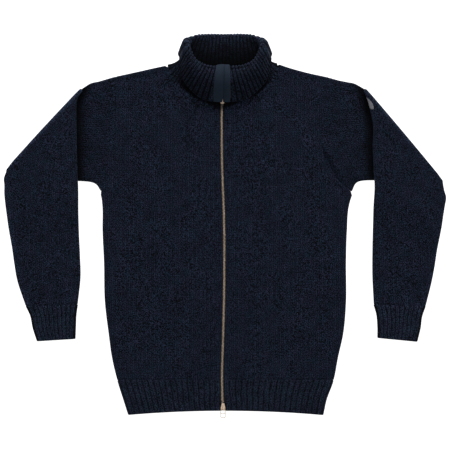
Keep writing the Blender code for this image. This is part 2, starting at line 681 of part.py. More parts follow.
def tube_points(top, under, turned, lift, fold_radius, section, radius, lofts, bow, lean):
    """Points of a flattened tube: rings from its two plan edges, folded over by `turned`.

    lofts: extra height of the back layer and of the front layer. bow: plan offset of each point
    from the straight line between the edges. lean: how much that line's direction turns at its
    two ends.
    """
    shares, angles = section
    back_loft, front_loft = lofts
    run = unit(under - top)
    start = top + run * BODY_TURN
    end = under - run * BODY_TURN
    outward = np.stack([run[:, 1], -run[:, 0]], axis=1)
    outward *= np.sign(np.sum(outward * top, axis=1, keepdims=True))
    spine = start[:, None] + (end - start)[:, None] * shares[None, :, None] + bow
    spine = spine + (outward * (np.sin(turned) * fold_radius)[:, None])[:, None]
    normal_flat = -np.sin(turned)[:, None] * outward
    normal_up = np.cos(turned)
    bulge = np.sin(np.pi * shares)[None]
    loft = np.where(np.sin(angles)[None] > 0, front_loft[:, None], back_loft[:, None]) * bulge
    reach = np.sin(angles)[None] * (radius + np.abs(np.sin(angles))[None]**4 * loft)
    length = np.linalg.norm(end - start, axis=1, keepdims=True)
    at_start = unit(run + lean[0] / length)
    at_end = unit(run + lean[1] / length)
    heading = np.where((shares < 0.5)[None, :, None], at_start[:, None], at_end[:, None])
    flat = spine + heading * (np.cos(angles) * radius)[None, :, None]
    flat = flat + normal_flat[:, None] * reach[..., None]
    height = lift[:, None] + normal_up[:, None] * reach
    return np.concatenate([flat, height[..., None]], axis=2)


def sleeve_points(right, stations, section, radius):
    """Points of the sleeve's outer (radius BODY_TURN) or inner face at any stations."""
    top, under, turned, lift, fold_radius = sleeve_rows(right, stations)
    bow = armhole_bow(right, stations, section[0])
    ends = armhole_bow(right, stations, np.array([0.0, LEAN_SHARE, 1 - LEAN_SHARE, 1.0]))
    lean = ((ends[:, 1] - ends[:, 0]) / LEAN_SHARE, (ends[:, 3] - ends[:, 2]) / LEAN_SHARE)
    before = 1 - ramp(stations - FOLD_STATION)
    after = ramp(stations - FOLD_STATION)
    front_loft = SLEEVE_LOFT[0] * before
    back_loft = SLEEVE_LOFT[1] * after
    points = tube_points(top, under, turned, lift, fold_radius, section, radius,
                         (back_loft, front_loft), bow, lean)
    upper = (np.sin(section[1]) > 0.9)[None] & (stations < FOLD_STATION - 1)[:, None]
    points[..., 2] += np.where(upper, fold_lift(points[..., 0], points[..., 1]), 0.0)
    return points


def sleeve_stations(right):
    """Stations of the solid's rings: close together near the armhole and round the fold."""
    last = len(SLEEVE_RIGHT if right else SLEEVE_LEFT) - 1
    before = np.array([0, 0.5, 1, 1.5, 2, 3, FOLD_STATION])
    fold = FOLD_STATION + np.arange(1, FOLD_STEPS + 1) / FOLD_STEPS
    after = np.arange(FOLD_STATION + 2, last + 1)
    return np.concatenate([before, fold, after])


def make_sleeve(right, material):
    """One sleeve from its armhole seam to its cuff seam."""
    stations = sleeve_stations(right)
    section = tube_section(ARMHOLE_POINTS - 1, ARMHOLE_POINTS - 1, 4)
    outer = sleeve_points(right, stations, section, BODY_TURN)
    inner = sleeve_points(right, stations, section, INNER_TURN)
    return wall("sleeve_right" if right else "sleeve_left", outer, inner, material, closed=True)


def make_cuff(right, material):
    """Ribbed cuff; ribs on the side that shows, its other side flat on the surface."""
    rows = np.array(CUFF_RIGHT if right else CUFF_LEFT, float)
    run = unit(rows[1, :2] - rows[0, :2])
    rows[0] += SEAM_GAP * np.concatenate([run, run])
    count = len(rows)
    shares, angles = tube_section(2 * CUFF_RIBS, 2, 4)
    still = np.full(count, np.pi)
    zero = np.zeros(count)
    lift = np.full(count, RIB_TURN)
    top, under = rows[:, :2], rows[:, 2:]
    section = (shares, angles)
    outer = tube_points(top, under, still, lift, 0.0, section, RIB_TURN, (zero, zero), 0.0, (0.0, 0.0))
    inner = tube_points(top, under, still, lift, 0.0, section, INNER_TURN, (zero, zero), 0.0, (0.0, 0.0))
    ribs = np.zeros(len(shares))
    ribs[:2 * CUFF_RIBS + 1] = RIB_RISE * (np.arange(2 * CUFF_RIBS + 1) % 2)
    outer[..., 2] += ribs[None]
    return wall("cuff_right" if right else "cuff_left", outer, inner, material, closed=True)


# ==== collar ========================================================================================
def collar_middle(share, step):
    """Middle of the collar's wall.

    share: way round, -1 to 1. step: 0 to 1 up the stand, 1 to 2 round the roll, 2 to 3 down the
    turned-down layer to its free edge. Both layers lie flat at the back (turn -90 degrees) and on
    top of that at the front (+90), and swing round the creases in between.
    """
    rows = np.array(COLLAR_LINES, float)
    lines = smooth(rows[:, 0], rows[:, 1:], share)
    seam, fold, edge = lines[..., 0:2], lines[..., 2:4], lines[..., 4:6]
    turn = collar_turn(share)
    side = np.sign(share)
    knee_pull = np.exp(-((np.abs(share) - CREASE_SHARE) / KNEE_SPAN)**2)[..., None]
    knees = np.where((share < 0)[..., None], COLLAR_KNEE[0], COLLAR_KNEE[1])
    knee = (1 - knee_pull) * (seam + fold) / 2 + knee_pull * knees

    def stand(at):
        at = np.broadcast_to(at, share.shape)
        flat = ((1 - at)**2)[..., None] * seam + (2 * at * (1 - at))[..., None] * knee
        flat = flat + (at**2)[..., None] * fold
        front = STAND_FRONT[0] + (STAND_FRONT[1] - STAND_FRONT[0]) * at**1.5
        climb = STAND_BACK_RISE[0] + (STAND_BACK_RISE[1] - STAND_BACK_RISE[0]) * ramp(
            (np.abs(share) - 0.1) / (CREASE_SHARE - 0.1))**2
        back = STAND_BACK[0] + (STAND_BACK[1] - STAND_BACK[0]) * ramp(at / climb)
        half = (front - back) / 2
        x = flat[..., 0] + side * np.cos(turn) * half
        z = (front + back) / 2 + np.sin(turn) * half
        return np.stack([x, flat[..., 1], z], axis=-1)

    def turned_down(at):
        at = np.broadcast_to(at, share.shape)
        flat = at[..., None] * edge + (1 - at)[..., None] * fold
        front = TURN_FRONT[1] + (TURN_FRONT[0] - TURN_FRONT[1]) * at
        reach = TURN_CREASE[1] + (TURN_CREASE[0] - TURN_CREASE[1]) * at
        x = flat[..., 0] + side * np.cos(turn) * reach
        z = (front + TURN_BACK) / 2 + np.sin(turn) * (front - TURN_BACK) / 2
        return np.stack([x, flat[..., 1], z], axis=-1)

    low, high = stand(1.0), turned_down(0.0)
    across = unit(high - low)
    ahead = low - stand(0.97)
    ahead = unit(ahead - np.sum(ahead * across, axis=-1, keepdims=True) * across)
    radius = np.linalg.norm(high - low, axis=-1, keepdims=True) / 2
    angle = np.pi * np.clip(step - 1, 0, 1)[..., None]
    roll = (low + high) / 2 + radius * (np.sin(angle) * ahead - np.cos(angle) * across)
    on_stand = (step < 1)[..., None]
    on_turn = (step > 2)[..., None]
    points = np.where(on_stand, stand(np.clip(step, 0, 1)), roll)
    return np.where(on_turn, turned_down(np.clip(step - 2, 0, 1)), points)


def collar_face(share, step, lift):
    """Points `lift` away from the middle of the collar's wall, towards the side that shows.

    The normal is the cross product of the two directions of the surface.
    """
    share, step = np.broadcast_arrays(np.asarray(share, float), np.asarray(step, float))
    tiny = 1e-3
    share_in = np.clip(share, -1 + tiny, 1 - tiny)
    step_in = np.clip(step, tiny, 3 - tiny)
    round_way = collar_middle(share_in + tiny, step_in) - collar_middle(share_in - tiny, step_in)
    up_way = collar_middle(share_in, step_in + tiny) - collar_middle(share_in, step_in - tiny)
    normal = unit(np.cross(round_way, up_way))
    return collar_middle(share, step) + normal * np.asarray(lift)[..., None]


COLLAR_STEPS = np.array([0, 0.08, 0.17, 0.55, 1.0, 1.3, 1.65, 2.0, 2.5, 3.0])
FLAT_BY_ZIP = 0.885    # beyond this share the ribs are pressed flat under the zip tape


def collar_ribs(share, step, count):
    """Height of the ribs: none by the zip or on the layer that lies on the surface."""
    rib = np.arange(count) % 2
    by_zip = np.abs(share) < FLAT_BY_ZIP
    turn = collar_turn(share)
    on_stand = ramp(-0.4 - turn)
    on_turned_down = ramp(turn + 1.4)
    shows = np.where(step < 0.9, on_stand, np.where(step > 1.9, on_turned_down, 1.0))
    return RIB_RISE * rib * by_zip * shows


def make_collar(material):
    """The rolled collar, open at the front where the zip runs."""
    count = 2 * COLLAR_RIBS + 1
    share = np.linspace(-1, 1, count)[None, :]
    step = COLLAR_STEPS[:, None]
    share, step = np.broadcast_arrays(share, step)
    ribs = collar_ribs(share, step, count)
    pressed = CREASE_PRESS * np.cos(collar_turn(share))**2 * (1 - ramp((step - 0.6) / 0.4))
    shown = collar_face(share, step, RIB_WALL / 2 + ribs - pressed)
    hidden = collar_face(share, step, np.full(share.shape, -RIB_WALL / 2))
    return wall("collar", shown, hidden, material)


# ==== zip ===========================================================================================
def zip_frame(steps):
    """Middle of the tape, and the direction towards the garment's inner side, along the zip.

    A step below zero is a distance up the body less BODY_OFFSET; others are steps along the collar.
    """
    steps = np.asarray(steps, float)
    heights = steps + BODY_OFFSET
    keys, levels = zip(*CHAIN_HEIGHTS)
    on_body = np.stack([zip_x(heights), heights, np.interp(heights, keys, levels)], axis=1)
    on_collar = collar_zip_point(np.maximum(steps, 0.0), TAPE_LIFT)
    above = collar_zip_point(np.maximum(steps, 0.0), TAPE_LIFT + 1.0)
    body = (steps < 0)[:, None]
    middle = np.where(body, on_body, on_collar)
    inward = np.where(body, (0.0, 0.0, -1.0), unit(above - on_collar))
    return middle, inward


def collar_zip_point(steps, lift):
    """Point midway between the collar's two front edges, `lift` from the middle of its wall."""
    lifts = np.full(len(steps), lift)
    one = np.ones(len(steps))
    return (collar_face(-one, steps, lifts) + collar_face(one, steps, lifts)) / 2


def body_steps(heights):
    """Steps of zip_frame for distances up the body."""
    return np.asarray(heights, float) - BODY_OFFSET


def make_stringer(right, material):
    """One side of the zip: a row of closed teeth as a bead, and the tape that carries it."""
    side = -1 if right else 1
    heights = np.concatenate([[CHAIN_START, -352, -331, -325], np.linspace(-290, 230, 12)])
    collar_steps = np.append(COLLAR_STEPS[1:-1], TOP_SLIDER_STEPS[0] - 0.01)
    steps = np.concatenate([body_steps(heights), collar_steps])
    middle, inward = zip_frame(steps)
    aside = np.array([side, 0.0, 0.0])
    on_body = (steps < 0)[:, None]
    flat_edge = middle + aside * TAPE_REACH
    share = np.full(len(steps), side * TAPE_SHARE)
    bent_edge = collar_face(share, np.maximum(steps, 0), np.full(len(steps), TAPE_LIFT))
    bent_above = collar_face(share, np.maximum(steps, 0), np.full(len(steps), TAPE_LIFT + 1))
    edge = np.where(on_body, flat_edge, bent_edge)
    edge_inward = np.where(on_body, inward, unit(bent_above - bent_edge))
    near, far = CHAIN_PART, CHAIN_HALF
    half_chain, half_tape = CHAIN_THICK / 2, TAPE_THICK / 2
    rings = np.stack([
        middle + aside * near - inward * half_chain,
        middle + aside * near + inward * half_chain,
        middle + aside * far + inward * half_chain,
        middle + aside * far + inward * half_tape,
        edge + edge_inward * half_tape,
        edge - edge_inward * half_tape,
        middle + aside * far - inward * half_tape,
        middle + aside * far - inward * half_chain,
    ], axis=1)
    return bar("zip_stringer_right" if right else "zip_stringer_left", rings, material)


def make_facing(right, material):
    """Strip that covers half of the zip's inner side where the collar is turned over."""
    side = -1 if right else 1
    steps = np.array([*COLLAR_STEPS[3:-1], FACING_OPENS, 2.9, 2.995])
    middle, inward = zip_frame(steps)
    opening = FACING_PARTS * np.clip((steps - FACING_OPENS) / (3.0 - FACING_OPENS), 0, 1)
    near = middle + np.array([side, 0.0, 0.0]) * (FACING_INNER + opening)[:, None]
    outer_share = FACING_SHARE[0] + (FACING_SHARE[1] - FACING_SHARE[0]) * np.clip(steps - 2, 0, 1)
    columns = ((0.97, FACING_LIFT), (0.95, FACING_LIFT - 0.1), (None, TAPE_LIFT + 0.2))
    faces = []
    for half in (FACING_THICK / 2, -FACING_THICK / 2):
        lines = [near + inward * (FACING_LIFT - TAPE_LIFT + half)]
        for share, lift in columns:
            at = outer_share if share is None else np.full(len(steps), share)
            lines.append(collar_face(side * at, steps, np.full(len(steps), lift + half)))
        faces.append(np.stack(lines, axis=1))
    return wall("facing_right" if right else "facing_left", faces[0], faces[1], material)


def slider_profile(plate, web, levels):
    """Outline of a slider's cross-section: two plates joined by a web, with a slot each side."""
    low, low_top, high_base, high = levels
    return np.array([
        (-plate, low), (plate, low), (plate, low_top), (web, low_top),
        (web, high_base), (plate, high_base), (plate, high), (-plate, high),
        (-plate, high_base), (-web, high_base), (-web, low_top), (-plate, low_top),
    ], float)


def make_bottom_slider(material):
    """Slider at the hem, wide end down, with the small arch that holds its pull."""
    rings = []
    for ahead, size in SLIDER_SHAPE:
        y = SLIDER_ENDS[0] + ahead
        profile = slider_profile(SLIDER_HALF * size, SLIDER_WEB * size, SLIDER_LEVELS)
        x = zip_x(np.array([y]))[0]
        rings.append(np.column_stack([profile[:, 0] + x, np.full(len(profile), y), profile[:, 1]]))
    slider = bar("slider_bottom", np.array(rings), material)
    near, far = PULL_PIVOT[0] - ARCH_HALF, PULL_PIVOT[0] + ARCH_HALF
    rings = []
    for (y, z), (y_in, z_in) in zip(ARCH_OUTSIDE, ARCH_INSIDE):
        rings.append([(near, y, z), (far, y, z), (far, y_in, z_in), (near, y_in, z_in)])
    arch = bar("slider_arch", np.array(rings), material)
    arch.hide_render = True
    arch.display_type = "WIRE"
    union = slider.modifiers.new("arch", "BOOLEAN")
    union.operation = "UNION"
    union.solver = "EXACT"
    union.object = arch
    return slider


def make_pull(material):
    """Open wire pull with a bar across its middle, lying from its pivot out over the hem."""
    half, wire = PULL_HALF, PULL_WIRE
    xs = np.array([-half, wire - half, half - wire, half])
    ys = np.array([wire / 2, -wire / 2, *PULL_BAR, wire / 2 - PULL_LENGTH, -wire / 2 - PULL_LENGTH])
    window_rows = (1, 3)
    points = [(x, y, z) for z in (-wire / 2, wire / 2) for y in ys for x in xs]
    layer = len(xs) * len(ys)
    filled = {(row, column) for row in range(len(ys) - 1) for column in range(len(xs) - 1)
              if not (row in window_rows and column == 1)}
    faces = []
    for row, column in sorted(filled):
        a = row * len(xs) + column
        b, c, d = a + 1, a + 1 + len(xs), a + len(xs)
        faces.append((a, b, c, d))
        faces.append((d + layer, c + layer, b + layer, a + layer))
        sides = (((row - 1, column), a, b), ((row, column + 1), b, c),
                 ((row + 1, column), c, d), ((row, column - 1), d, a))
        for neighbour, start, end in sides:
            if neighbour not in filled:
                faces.append((end, start, start + layer, end + layer))
    pull = make_object("pull_tab", points, faces, material)
    pull.location = np.array(PULL_PIVOT) * MM
    pull.rotation_euler = (np.radians(PULL_SLOPE), 0.0, 0.0)
    return pull


def make_top_slider(material):
    """Slider at the collar's free edge, seen from its back, and its pull between the layers."""
    rings = []
    for share, size in TOP_SLIDER_SHAPE:
        step = TOP_SLIDER_STEPS[0] + share * (TOP_SLIDER_STEPS[1] - TOP_SLIDER_STEPS[0])
        inside = min(step, 3.0)
        middle, inward = zip_frame([inside - 0.05, inside])
        ahead = middle[1] + (middle[1] - middle[0]) * (step - inside) / 0.05
        profile = slider_profile(SLIDER_HALF * size, TOP_SLIDER_WEB * size, TOP_SLIDER_LEVELS)
        rings.append([ahead + (x, 0, 0) + inward[1] * (lift - TAPE_LIFT) for x, lift in profile])
    slider = bar("slider_top", np.array(rings), material)
    middle, inward = zip_frame(TOP_PULL_STEPS)
    near, far = TOP_PULL_LEVELS
    corners = ((-TOP_PULL_HALF, near), (TOP_PULL_HALF, near), (TOP_PULL_HALF, far), (-TOP_PULL_HALF, far))
    rings = []
    for point, inner in zip(middle, inward):
        rings.append([point + (x, 0, 0) + inner * (lift - TAPE_LIFT) for x, lift in corners])
    bar("slider_top_pull", np.array(rings), material)
    return slider


# ==== patch =========================================================================================
PATCH_STATIONS = (5.3, 5.65, 6.0, 6.33)       # along the left sleeve
PATCH_SHARES = (0.0, 0.045, 0.09)             # across it, from the crease
PATCH_ANGLES = (-150.0, -120.0, -90.0)        # round the crease
PATCH_OFF = (0.3, 1.3)                        # its two faces, from the sleeve's surface


def make_patch(material):
    """Small plain patch sewn on the left sleeve's folded edge, half of it turned under."""
    stations = np.array(PATCH_STATIONS)
    shares = np.concatenate([np.zeros(len(PATCH_ANGLES) - 1), PATCH_SHARES])
    angles = np.radians(np.concatenate([PATCH_ANGLES[:-1], np.full(len(PATCH_SHARES), -90.0)]))
    # straight between the sleeve's own rings, as the sleeve is
    before, past = np.floor(stations), np.floor(stations) + 1
    blend = (stations - before)[:, None, None]

    def face(radius):
        low = sleeve_points(False, before, (shares, angles), radius)
        high = sleeve_points(False, past, (shares, angles), radius)
        return low * (1 - blend) + high * blend

    outer = face(BODY_TURN + PATCH_OFF[1])
    inner = face(BODY_TURN + PATCH_OFF[0])
    return wall("sleeve_patch", outer, inner, material)


def build():
    """Make every piece."""
    clear_scene()
    knit = finish_material("navy_wool_knit", (0.0075, 0.0103, 0.0185), 0.95)
    ribbing = finish_material("navy_wool_rib", (0.0075, 0.0103, 0.0185), 0.95)
    make_back(knit)
    make_hem_back(ribbing)
    for right in (True, False):
        make_front(right, knit)
        make_hem_front(right, ribbing)
        make_sleeve(right, knit)
        make_cuff(right, ribbing)
    make_collar(ribbing)
    tape = finish_material("zip_tape", (0.011, 0.014, 0.022), 0.9)
    metal = finish_material("zip_metal", (0.36, 0.29, 0.19), 0.38, 1.0)
    grosgrain = finish_material("facing_tape", (0.016, 0.021, 0.031), 0.8)
    patch = finish_material("patch_cloth", (0.10, 0.10, 0.11), 0.9)
    for right in (True, False):
        make_stringer(right, tape)
        make_facing(right, grosgrain)
    make_bottom_slider(metal)
    make_pull(metal)
    make_top_slider(metal)
    make_patch(patch)


build()
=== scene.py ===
# %% [markdown]
# # A wool cardigan, laid out flat
#
# A navy cardigan of thick knit lies front up on a white table and is seen from straight above. It has
# a two-way zip down the middle, a ribbed collar that rolls over, and ribbed bands at hem and cuffs.
# Each sleeve is folded forwards along a slanted line, so that its lower half shows the sleeve's back.
#
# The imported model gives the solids. Here every solid of cloth is made again as a thin shell with its
# ribs, seams and soft folds, and every shape is a formula on a grid of numbers. All lengths below are
# millimetres, in the model's own frame: +Y to the collar, +Z up, the wearer's right arm at -X.

# %% Load the fixed frame
import bmesh
import bpy
import numpy as np
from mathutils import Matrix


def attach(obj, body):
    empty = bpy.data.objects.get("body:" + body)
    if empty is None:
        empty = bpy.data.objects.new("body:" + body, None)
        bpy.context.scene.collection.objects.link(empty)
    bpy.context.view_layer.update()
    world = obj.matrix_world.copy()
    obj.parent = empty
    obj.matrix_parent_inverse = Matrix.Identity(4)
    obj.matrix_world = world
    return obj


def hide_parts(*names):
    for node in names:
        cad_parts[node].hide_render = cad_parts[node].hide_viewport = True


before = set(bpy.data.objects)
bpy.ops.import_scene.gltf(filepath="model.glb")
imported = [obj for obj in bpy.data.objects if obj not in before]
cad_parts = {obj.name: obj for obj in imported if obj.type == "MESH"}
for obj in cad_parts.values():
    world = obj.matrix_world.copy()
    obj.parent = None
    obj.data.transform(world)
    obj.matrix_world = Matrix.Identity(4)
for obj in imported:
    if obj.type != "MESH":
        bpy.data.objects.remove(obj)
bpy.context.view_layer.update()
MM = 0.001

# %% [markdown]
# ## Curves
#
# A garment's outlines are a few measured points joined by smooth curves. A Bezier object could draw
# them, but a cubic through rows of a table is one line of numpy, and it gives any number of points at
# once. The same function carries the edges of the sleeves and the three lines of the collar.


# %% Smooth lines through tables
def smooth(keys, rows, at, still=()):
    """Cubic pieces through the rows at the keys.

    A piece between two rows is h00*row + h10*span*slope + h01*next + h11*span*next_slope, with the
    mean slope at every row, and no slope at the keys named in `still`.
    """
    keys, rows = np.asarray(keys, float), np.asarray(rows, float)
    slopes = np.gradient(rows, keys, axis=0)
    for key in still:
        slopes[keys == key] = 0.0
    at = np.clip(np.asarray(at, float), keys[0], keys[-1])
    piece = np.clip(np.searchsorted(keys, at, side="right") - 1, 0, len(keys) - 2)
    span = keys[piece + 1] - keys[piece]
    t = ((at - keys[piece]) / span)[..., None]
    span = span[..., None]
    return ((2 * t**3 - 3 * t**2 + 1) * rows[piece] + (t**3 - 2 * t**2 + t) * span * slopes[piece]
            + (3 * t**2 - 2 * t**3) * rows[piece + 1] + (t**3 - t**2) * span * slopes[piece + 1])


def along(points, shares):
    """Points at shares of a curve's length: its points are keyed by the distance walked so far."""
    points = np.asarray(points, float)
    keys = walked(points)
    return smooth(keys, points, np.asarray(shares) * keys[-1])


def unit(vectors):
    """Vectors divided by their own length."""
    return vectors / np.linalg.norm(vectors, axis=-1, keepdims=True)


def left_normals(curve):
    """Normals on the left of a plan curve: its tangent turned by a quarter turn."""
    tangent = unit(np.gradient(curve, axis=0))
    return np.stack([-tangent[:, 1], tangent[:, 0]], axis=1)


def ramp(value, start=0.0, span=1.0):
    """0 up to the start, 1 from start + span on, and 3t^2 - 2t^3 between."""
    t = np.clip((value - start) / span, 0.0, 1.0)
    return t * t * (3.0 - 2.0 * t)


def bump(value, middle=0.0, width=1.0):
    """Rounded hill exp(-((value - middle) / width)^2): 1 in the middle, nearly nothing at 2 widths."""
    return np.exp(-np.square((value - middle) / width))


def between(ends, share):
    """First end + (second - first) * share."""
    return ends[0] + (ends[1] - ends[0]) * share


def walked(points):
    """Length of a line of points up to each of them."""
    return np.append(0.0, np.cumsum(np.linalg.norm(np.diff(points, axis=0), axis=1)))


def coons(bottom, top, left, right):
    """Grid between four curves: both ruled grids added, less the one ruled by the corners."""
    across = np.linspace(0, 1, len(bottom))[None, :, None]
    up = np.linspace(0, 1, len(left))[:, None, None]
    ends = (1 - up) * bottom[None] + up * top[None]
    sides = (1 - across) * left[:, None] + across * right[:, None]
    corners = ((1 - up) * ((1 - across) * bottom[0] + across * bottom[-1])
               + up * ((1 - across) * top[0] + across * top[-1]))
    return ends + sides - corners


def pick(grid, rows, columns):
    """Grid read between its own lines: a mean of the four nearest points, weighted by nearness."""
    grid = np.asarray(grid, float)
    low_row = np.clip(np.floor(rows).astype(int), 0, grid.shape[0] - 2)
    low_column = np.clip(np.floor(columns).astype(int), 0, grid.shape[1] - 2)
    shape = (-1, 1) + (1,) * (grid.ndim - 2)
    row_share = (rows - low_row).reshape(shape)
    column_share = (columns - low_column).reshape((1,) + shape[:1] + shape[2:])
    by_row = grid[low_row] * (1 - row_share) + grid[low_row + 1] * row_share
    return by_row[:, low_column] * (1 - column_share) + by_row[:, low_column + 1] * column_share


def pick_line(values, at):
    """The same for one line of values or vectors."""
    return pick(np.stack([values, values], axis=1), at, np.zeros(1))[:, 0]


# %% [markdown]
# ## Thin shells
#
# Knitted cloth is a sheet three millimetres thick, and it is never a solid. One way is a single
# surface with the Solidify modifier. Here both faces are worked out, because the folded edges and the
# ribs are different on the two sides. The shell joins the two grids and closes their borders. Each
# border that is a free or sewn edge is rounded by thinning the wall towards it along a quarter circle.
# The stitches are counted in the UV map: one unit is one stitch across, or one row of stitches up.


# %% From two grids of points to one closed mesh
# where the extra lines of a rounded edge lie, as shares of half the wall
EDGE_STEPS = np.array([0.02, 0.15, 0.42, 0.75])


def quads(rows, columns, closed):
    """Corner numbers of a grid's quads, and of its UV grid, which has one more column if closed."""
    row = np.arange(rows - 1)[:, None]
    column = np.arange(columns if closed else columns - 1)[None]

    def corners(wide, beside):
        four = [row * wide + column, row * wide + beside,
                (row + 1) * wide + beside, (row + 1) * wide + column]
        return np.stack(four, axis=-1).reshape(-1, 4)

    return corners(columns, (column + 1) % columns), corners(column.size + 1, column + 1)


def side_name(name, right):
    """Name of one of a pair: % becomes right or left, as the wearer has it."""
    return name.replace("%", "right" if right else "left")


def put(name, data):
    """Object with this data, at the origin of the scene."""
    made = bpy.data.objects.new(name, data)
    bpy.context.scene.collection.objects.link(made)
    return made


def set_painted_shading(mesh, painted_shading):
    """One factor of painted light and shade for each point, which the material multiplies its colour by."""
    layer = mesh.attributes.new("painted_shading", "FLOAT", "POINT")
    layer.data.foreach_set("value", painted_shading.astype(np.float32).ravel())


def fill_mesh(name, points, corners, uv, material, painted_shading):
    """Object from points in millimetres, quads, and one UV pair for each of their corners."""
    mesh = bpy.data.meshes.new(name)
    mesh.vertices.add(len(points))
    mesh.vertices.foreach_set("co", (points * MM).astype(np.float32).ravel())
    mesh.loops.add(corners.size)
    mesh.loops.foreach_set("vertex_index", corners.astype(np.int32).ravel())
    mesh.polygons.add(len(corners))
    mesh.polygons.foreach_set("loop_start", np.arange(0, corners.size, 4, dtype=np.int32))
    mesh.polygons.foreach_set("use_smooth", np.ones(len(corners), bool))
    mesh.uv_layers.new(name="stitches").data.foreach_set("uv", uv.astype(np.float32).ravel())
    set_painted_shading(mesh, painted_shading)
    mesh.materials.append(material)
    mesh.update(calc_edges=True)
    mesh.validate()
    return put(name, mesh)


def faces_out(corners, points):
    """True if the quads, taken together, enclose a positive volume, so that they point outwards."""
    a, b, c, d = (points[corners[:, i]] for i in range(4))
    first = np.einsum("ij,ij->i", a, np.cross(b, c))
    second = np.einsum("ij,ij->i", a, np.cross(c, d))
    return (first + second).sum() > 0


def shell(name, shown, hidden, stitches, material, closed=False, thin=None, painted_shading=None):
    """Closed shell between two grids: point = middle + thin * half the wall, with rims all round."""
    if thin is not None:
        middle, half = (shown + hidden) / 2, (shown - hidden) / 2
        shown, hidden = middle + thin[..., None] * half, middle - thin[..., None] * half
    rows, columns = shown.shape[:2]
    count, wide = rows * columns, stitches.shape[1]
    corners, uv_corners = quads(rows, columns, closed)
    parts = [corners, corners[:, ::-1] + count]
    uv_parts = [uv_corners, uv_corners[:, ::-1]]
    # a rim joins each two neighbours on a border, first the rows' ends and then the columns'
    column, row = np.arange(columns if closed else columns - 1), np.arange(rows - 1)
    borders = [(at, at * columns + column, at * columns + (column + 1) % columns,
                at * wide + column, at * wide + column + 1) for at in (0, rows - 1)]
    if not closed:
        borders += [(at, (row + 1) * columns + at, row * columns + at,
                     (row + 1) * wide + at, row * wide + at) for at in (0, columns - 1)]
    for at, here, near, uv_here, uv_near in borders:
        turned = slice(None, None, -1 if at else 1)
        parts.append(np.stack([near, here, here + count, near + count], axis=1)[:, turned])
        uv_parts.append(np.stack([uv_near, uv_here, uv_here, uv_near], axis=1)[:, turned])
    corners, uv_corners = np.concatenate(parts), np.concatenate(uv_parts)
    points = np.concatenate([shown.reshape(-1, 3), hidden.reshape(-1, 3)])
    if not faces_out(corners, points):
        corners, uv_corners = corners[:, ::-1], uv_corners[:, ::-1]
    painted_shading = np.ones(shown.shape[:2]) if painted_shading is None else painted_shading
    return fill_mesh(name, points, corners, stitches.reshape(-1, 2)[uv_corners], material,
                     np.stack([painted_shading, painted_shading]))


def edge_lines(count, cell, half, before, after):
    """Grid lines with more of them by the edges, and how thick the wall is at each.

    At a distance d from an edge the wall is sqrt(1 - (1 - d/half)^2) of its thickness.
    """
    lines, last = np.arange(count, dtype=float), count - 1.0
    near = EDGE_STEPS * half / cell
    if before:
        lines = np.concatenate([near, lines[lines > near[-1] + 0.3]])
        lines[0] = 0.0
    if after:
        lines = np.concatenate([lines[lines < last - near[-1] - 0.3], (last - near)[::-1]])
        lines[-1] = last
    depth = np.ones(len(lines))
    for wanted, distance in ((before, lines * cell), (after, (last - lines) * cell)):
        if wanted:
            depth *= np.sqrt(1 - (1 - np.clip(distance / half, EDGE_STEPS[0], 1.0))**2)
    return lines, depth


# %% [markdown]
# ## Nodes and colours
#
# A material is a small tree of nodes. One helper adds a node, sets it up and links it. The colours
# are sRGB hex values, as a paint chart gives them, and one function turns them into the linear
# numbers that light is counted in. Long sums are tables, worked off row by row. Every finish ends
# alike: one colour between two others, and a height that tilts the light.

# %% One helper for nodes, one for colours
def linear(hex_colour):
    """sRGB hex to linear: c/12.92 in the darkest part, ((c + 0.055)/1.055)^2.4 above it."""
    value = np.array([int(hex_colour[i:i + 2], 16) for i in (1, 3, 5)]) / 255
    value = np.where(value <= 0.04045, value / 12.92, ((value + 0.055) / 1.055)**2.4)
    return (*value.tolist(), 1.0)


def add(tree, kind, links=(), **settings):
    """Add one node: settings are its own fields, links gives its inputs a value or a socket."""
    made = tree.nodes.new("ShaderNode" + kind)
    for key, value in settings.items():
        setattr(made, key, value)
    for socket, value in dict(links).items():
        if isinstance(value, bpy.types.NodeSocket):
            tree.links.new(value, made.inputs[socket])
        else:
            made.inputs[socket].default_value = value
    return made


def begin(name, **sockets):
    """New material with its main shader; sockets are set on the shader itself."""
    material = bpy.data.materials.new(name)
    material.use_nodes = True
    shader = material.node_tree.nodes["Principled BSDF"]
    for socket, value in sockets.items():
        shader.inputs[socket.replace("_", " ")].default_value = value
    return material, material.node_tree, shader


def sums(tree, values, rows):
    """Add a table of sums. A row is the name of its result, the operation, and its inputs, each one a
    number or the name of an earlier result."""
    for result, operation, *inputs in rows:
        links = {place: values.get(value, value) for place, value in enumerate(inputs)}
        values[result] = add(tree, "Math", links, operation=operation).outputs[0]
    return values


def dress(tree, shader, share, first, second, height, depth, shade=None):
    """Colour = (first to second by share) * shade; the surface rises by height * depth millimetres."""
    colour = add(tree, "Mix", {0: share, 6: first, 7: second}, data_type="RGBA").outputs[2]
    if shade is not None:
        colour = add(tree, "VectorMath", {0: colour, 3: shade}, operation="SCALE").outputs[0]
    relief = add(tree, "Bump", {"Height": height, "Distance": depth * MM}).outputs[0]
    tree.links.new(colour, shader.inputs["Base Color"])
    tree.links.new(relief, shader.inputs["Normal"])


print("navy in linear light:", [round(c, 4) for c in linear("#151a25")[:3]])
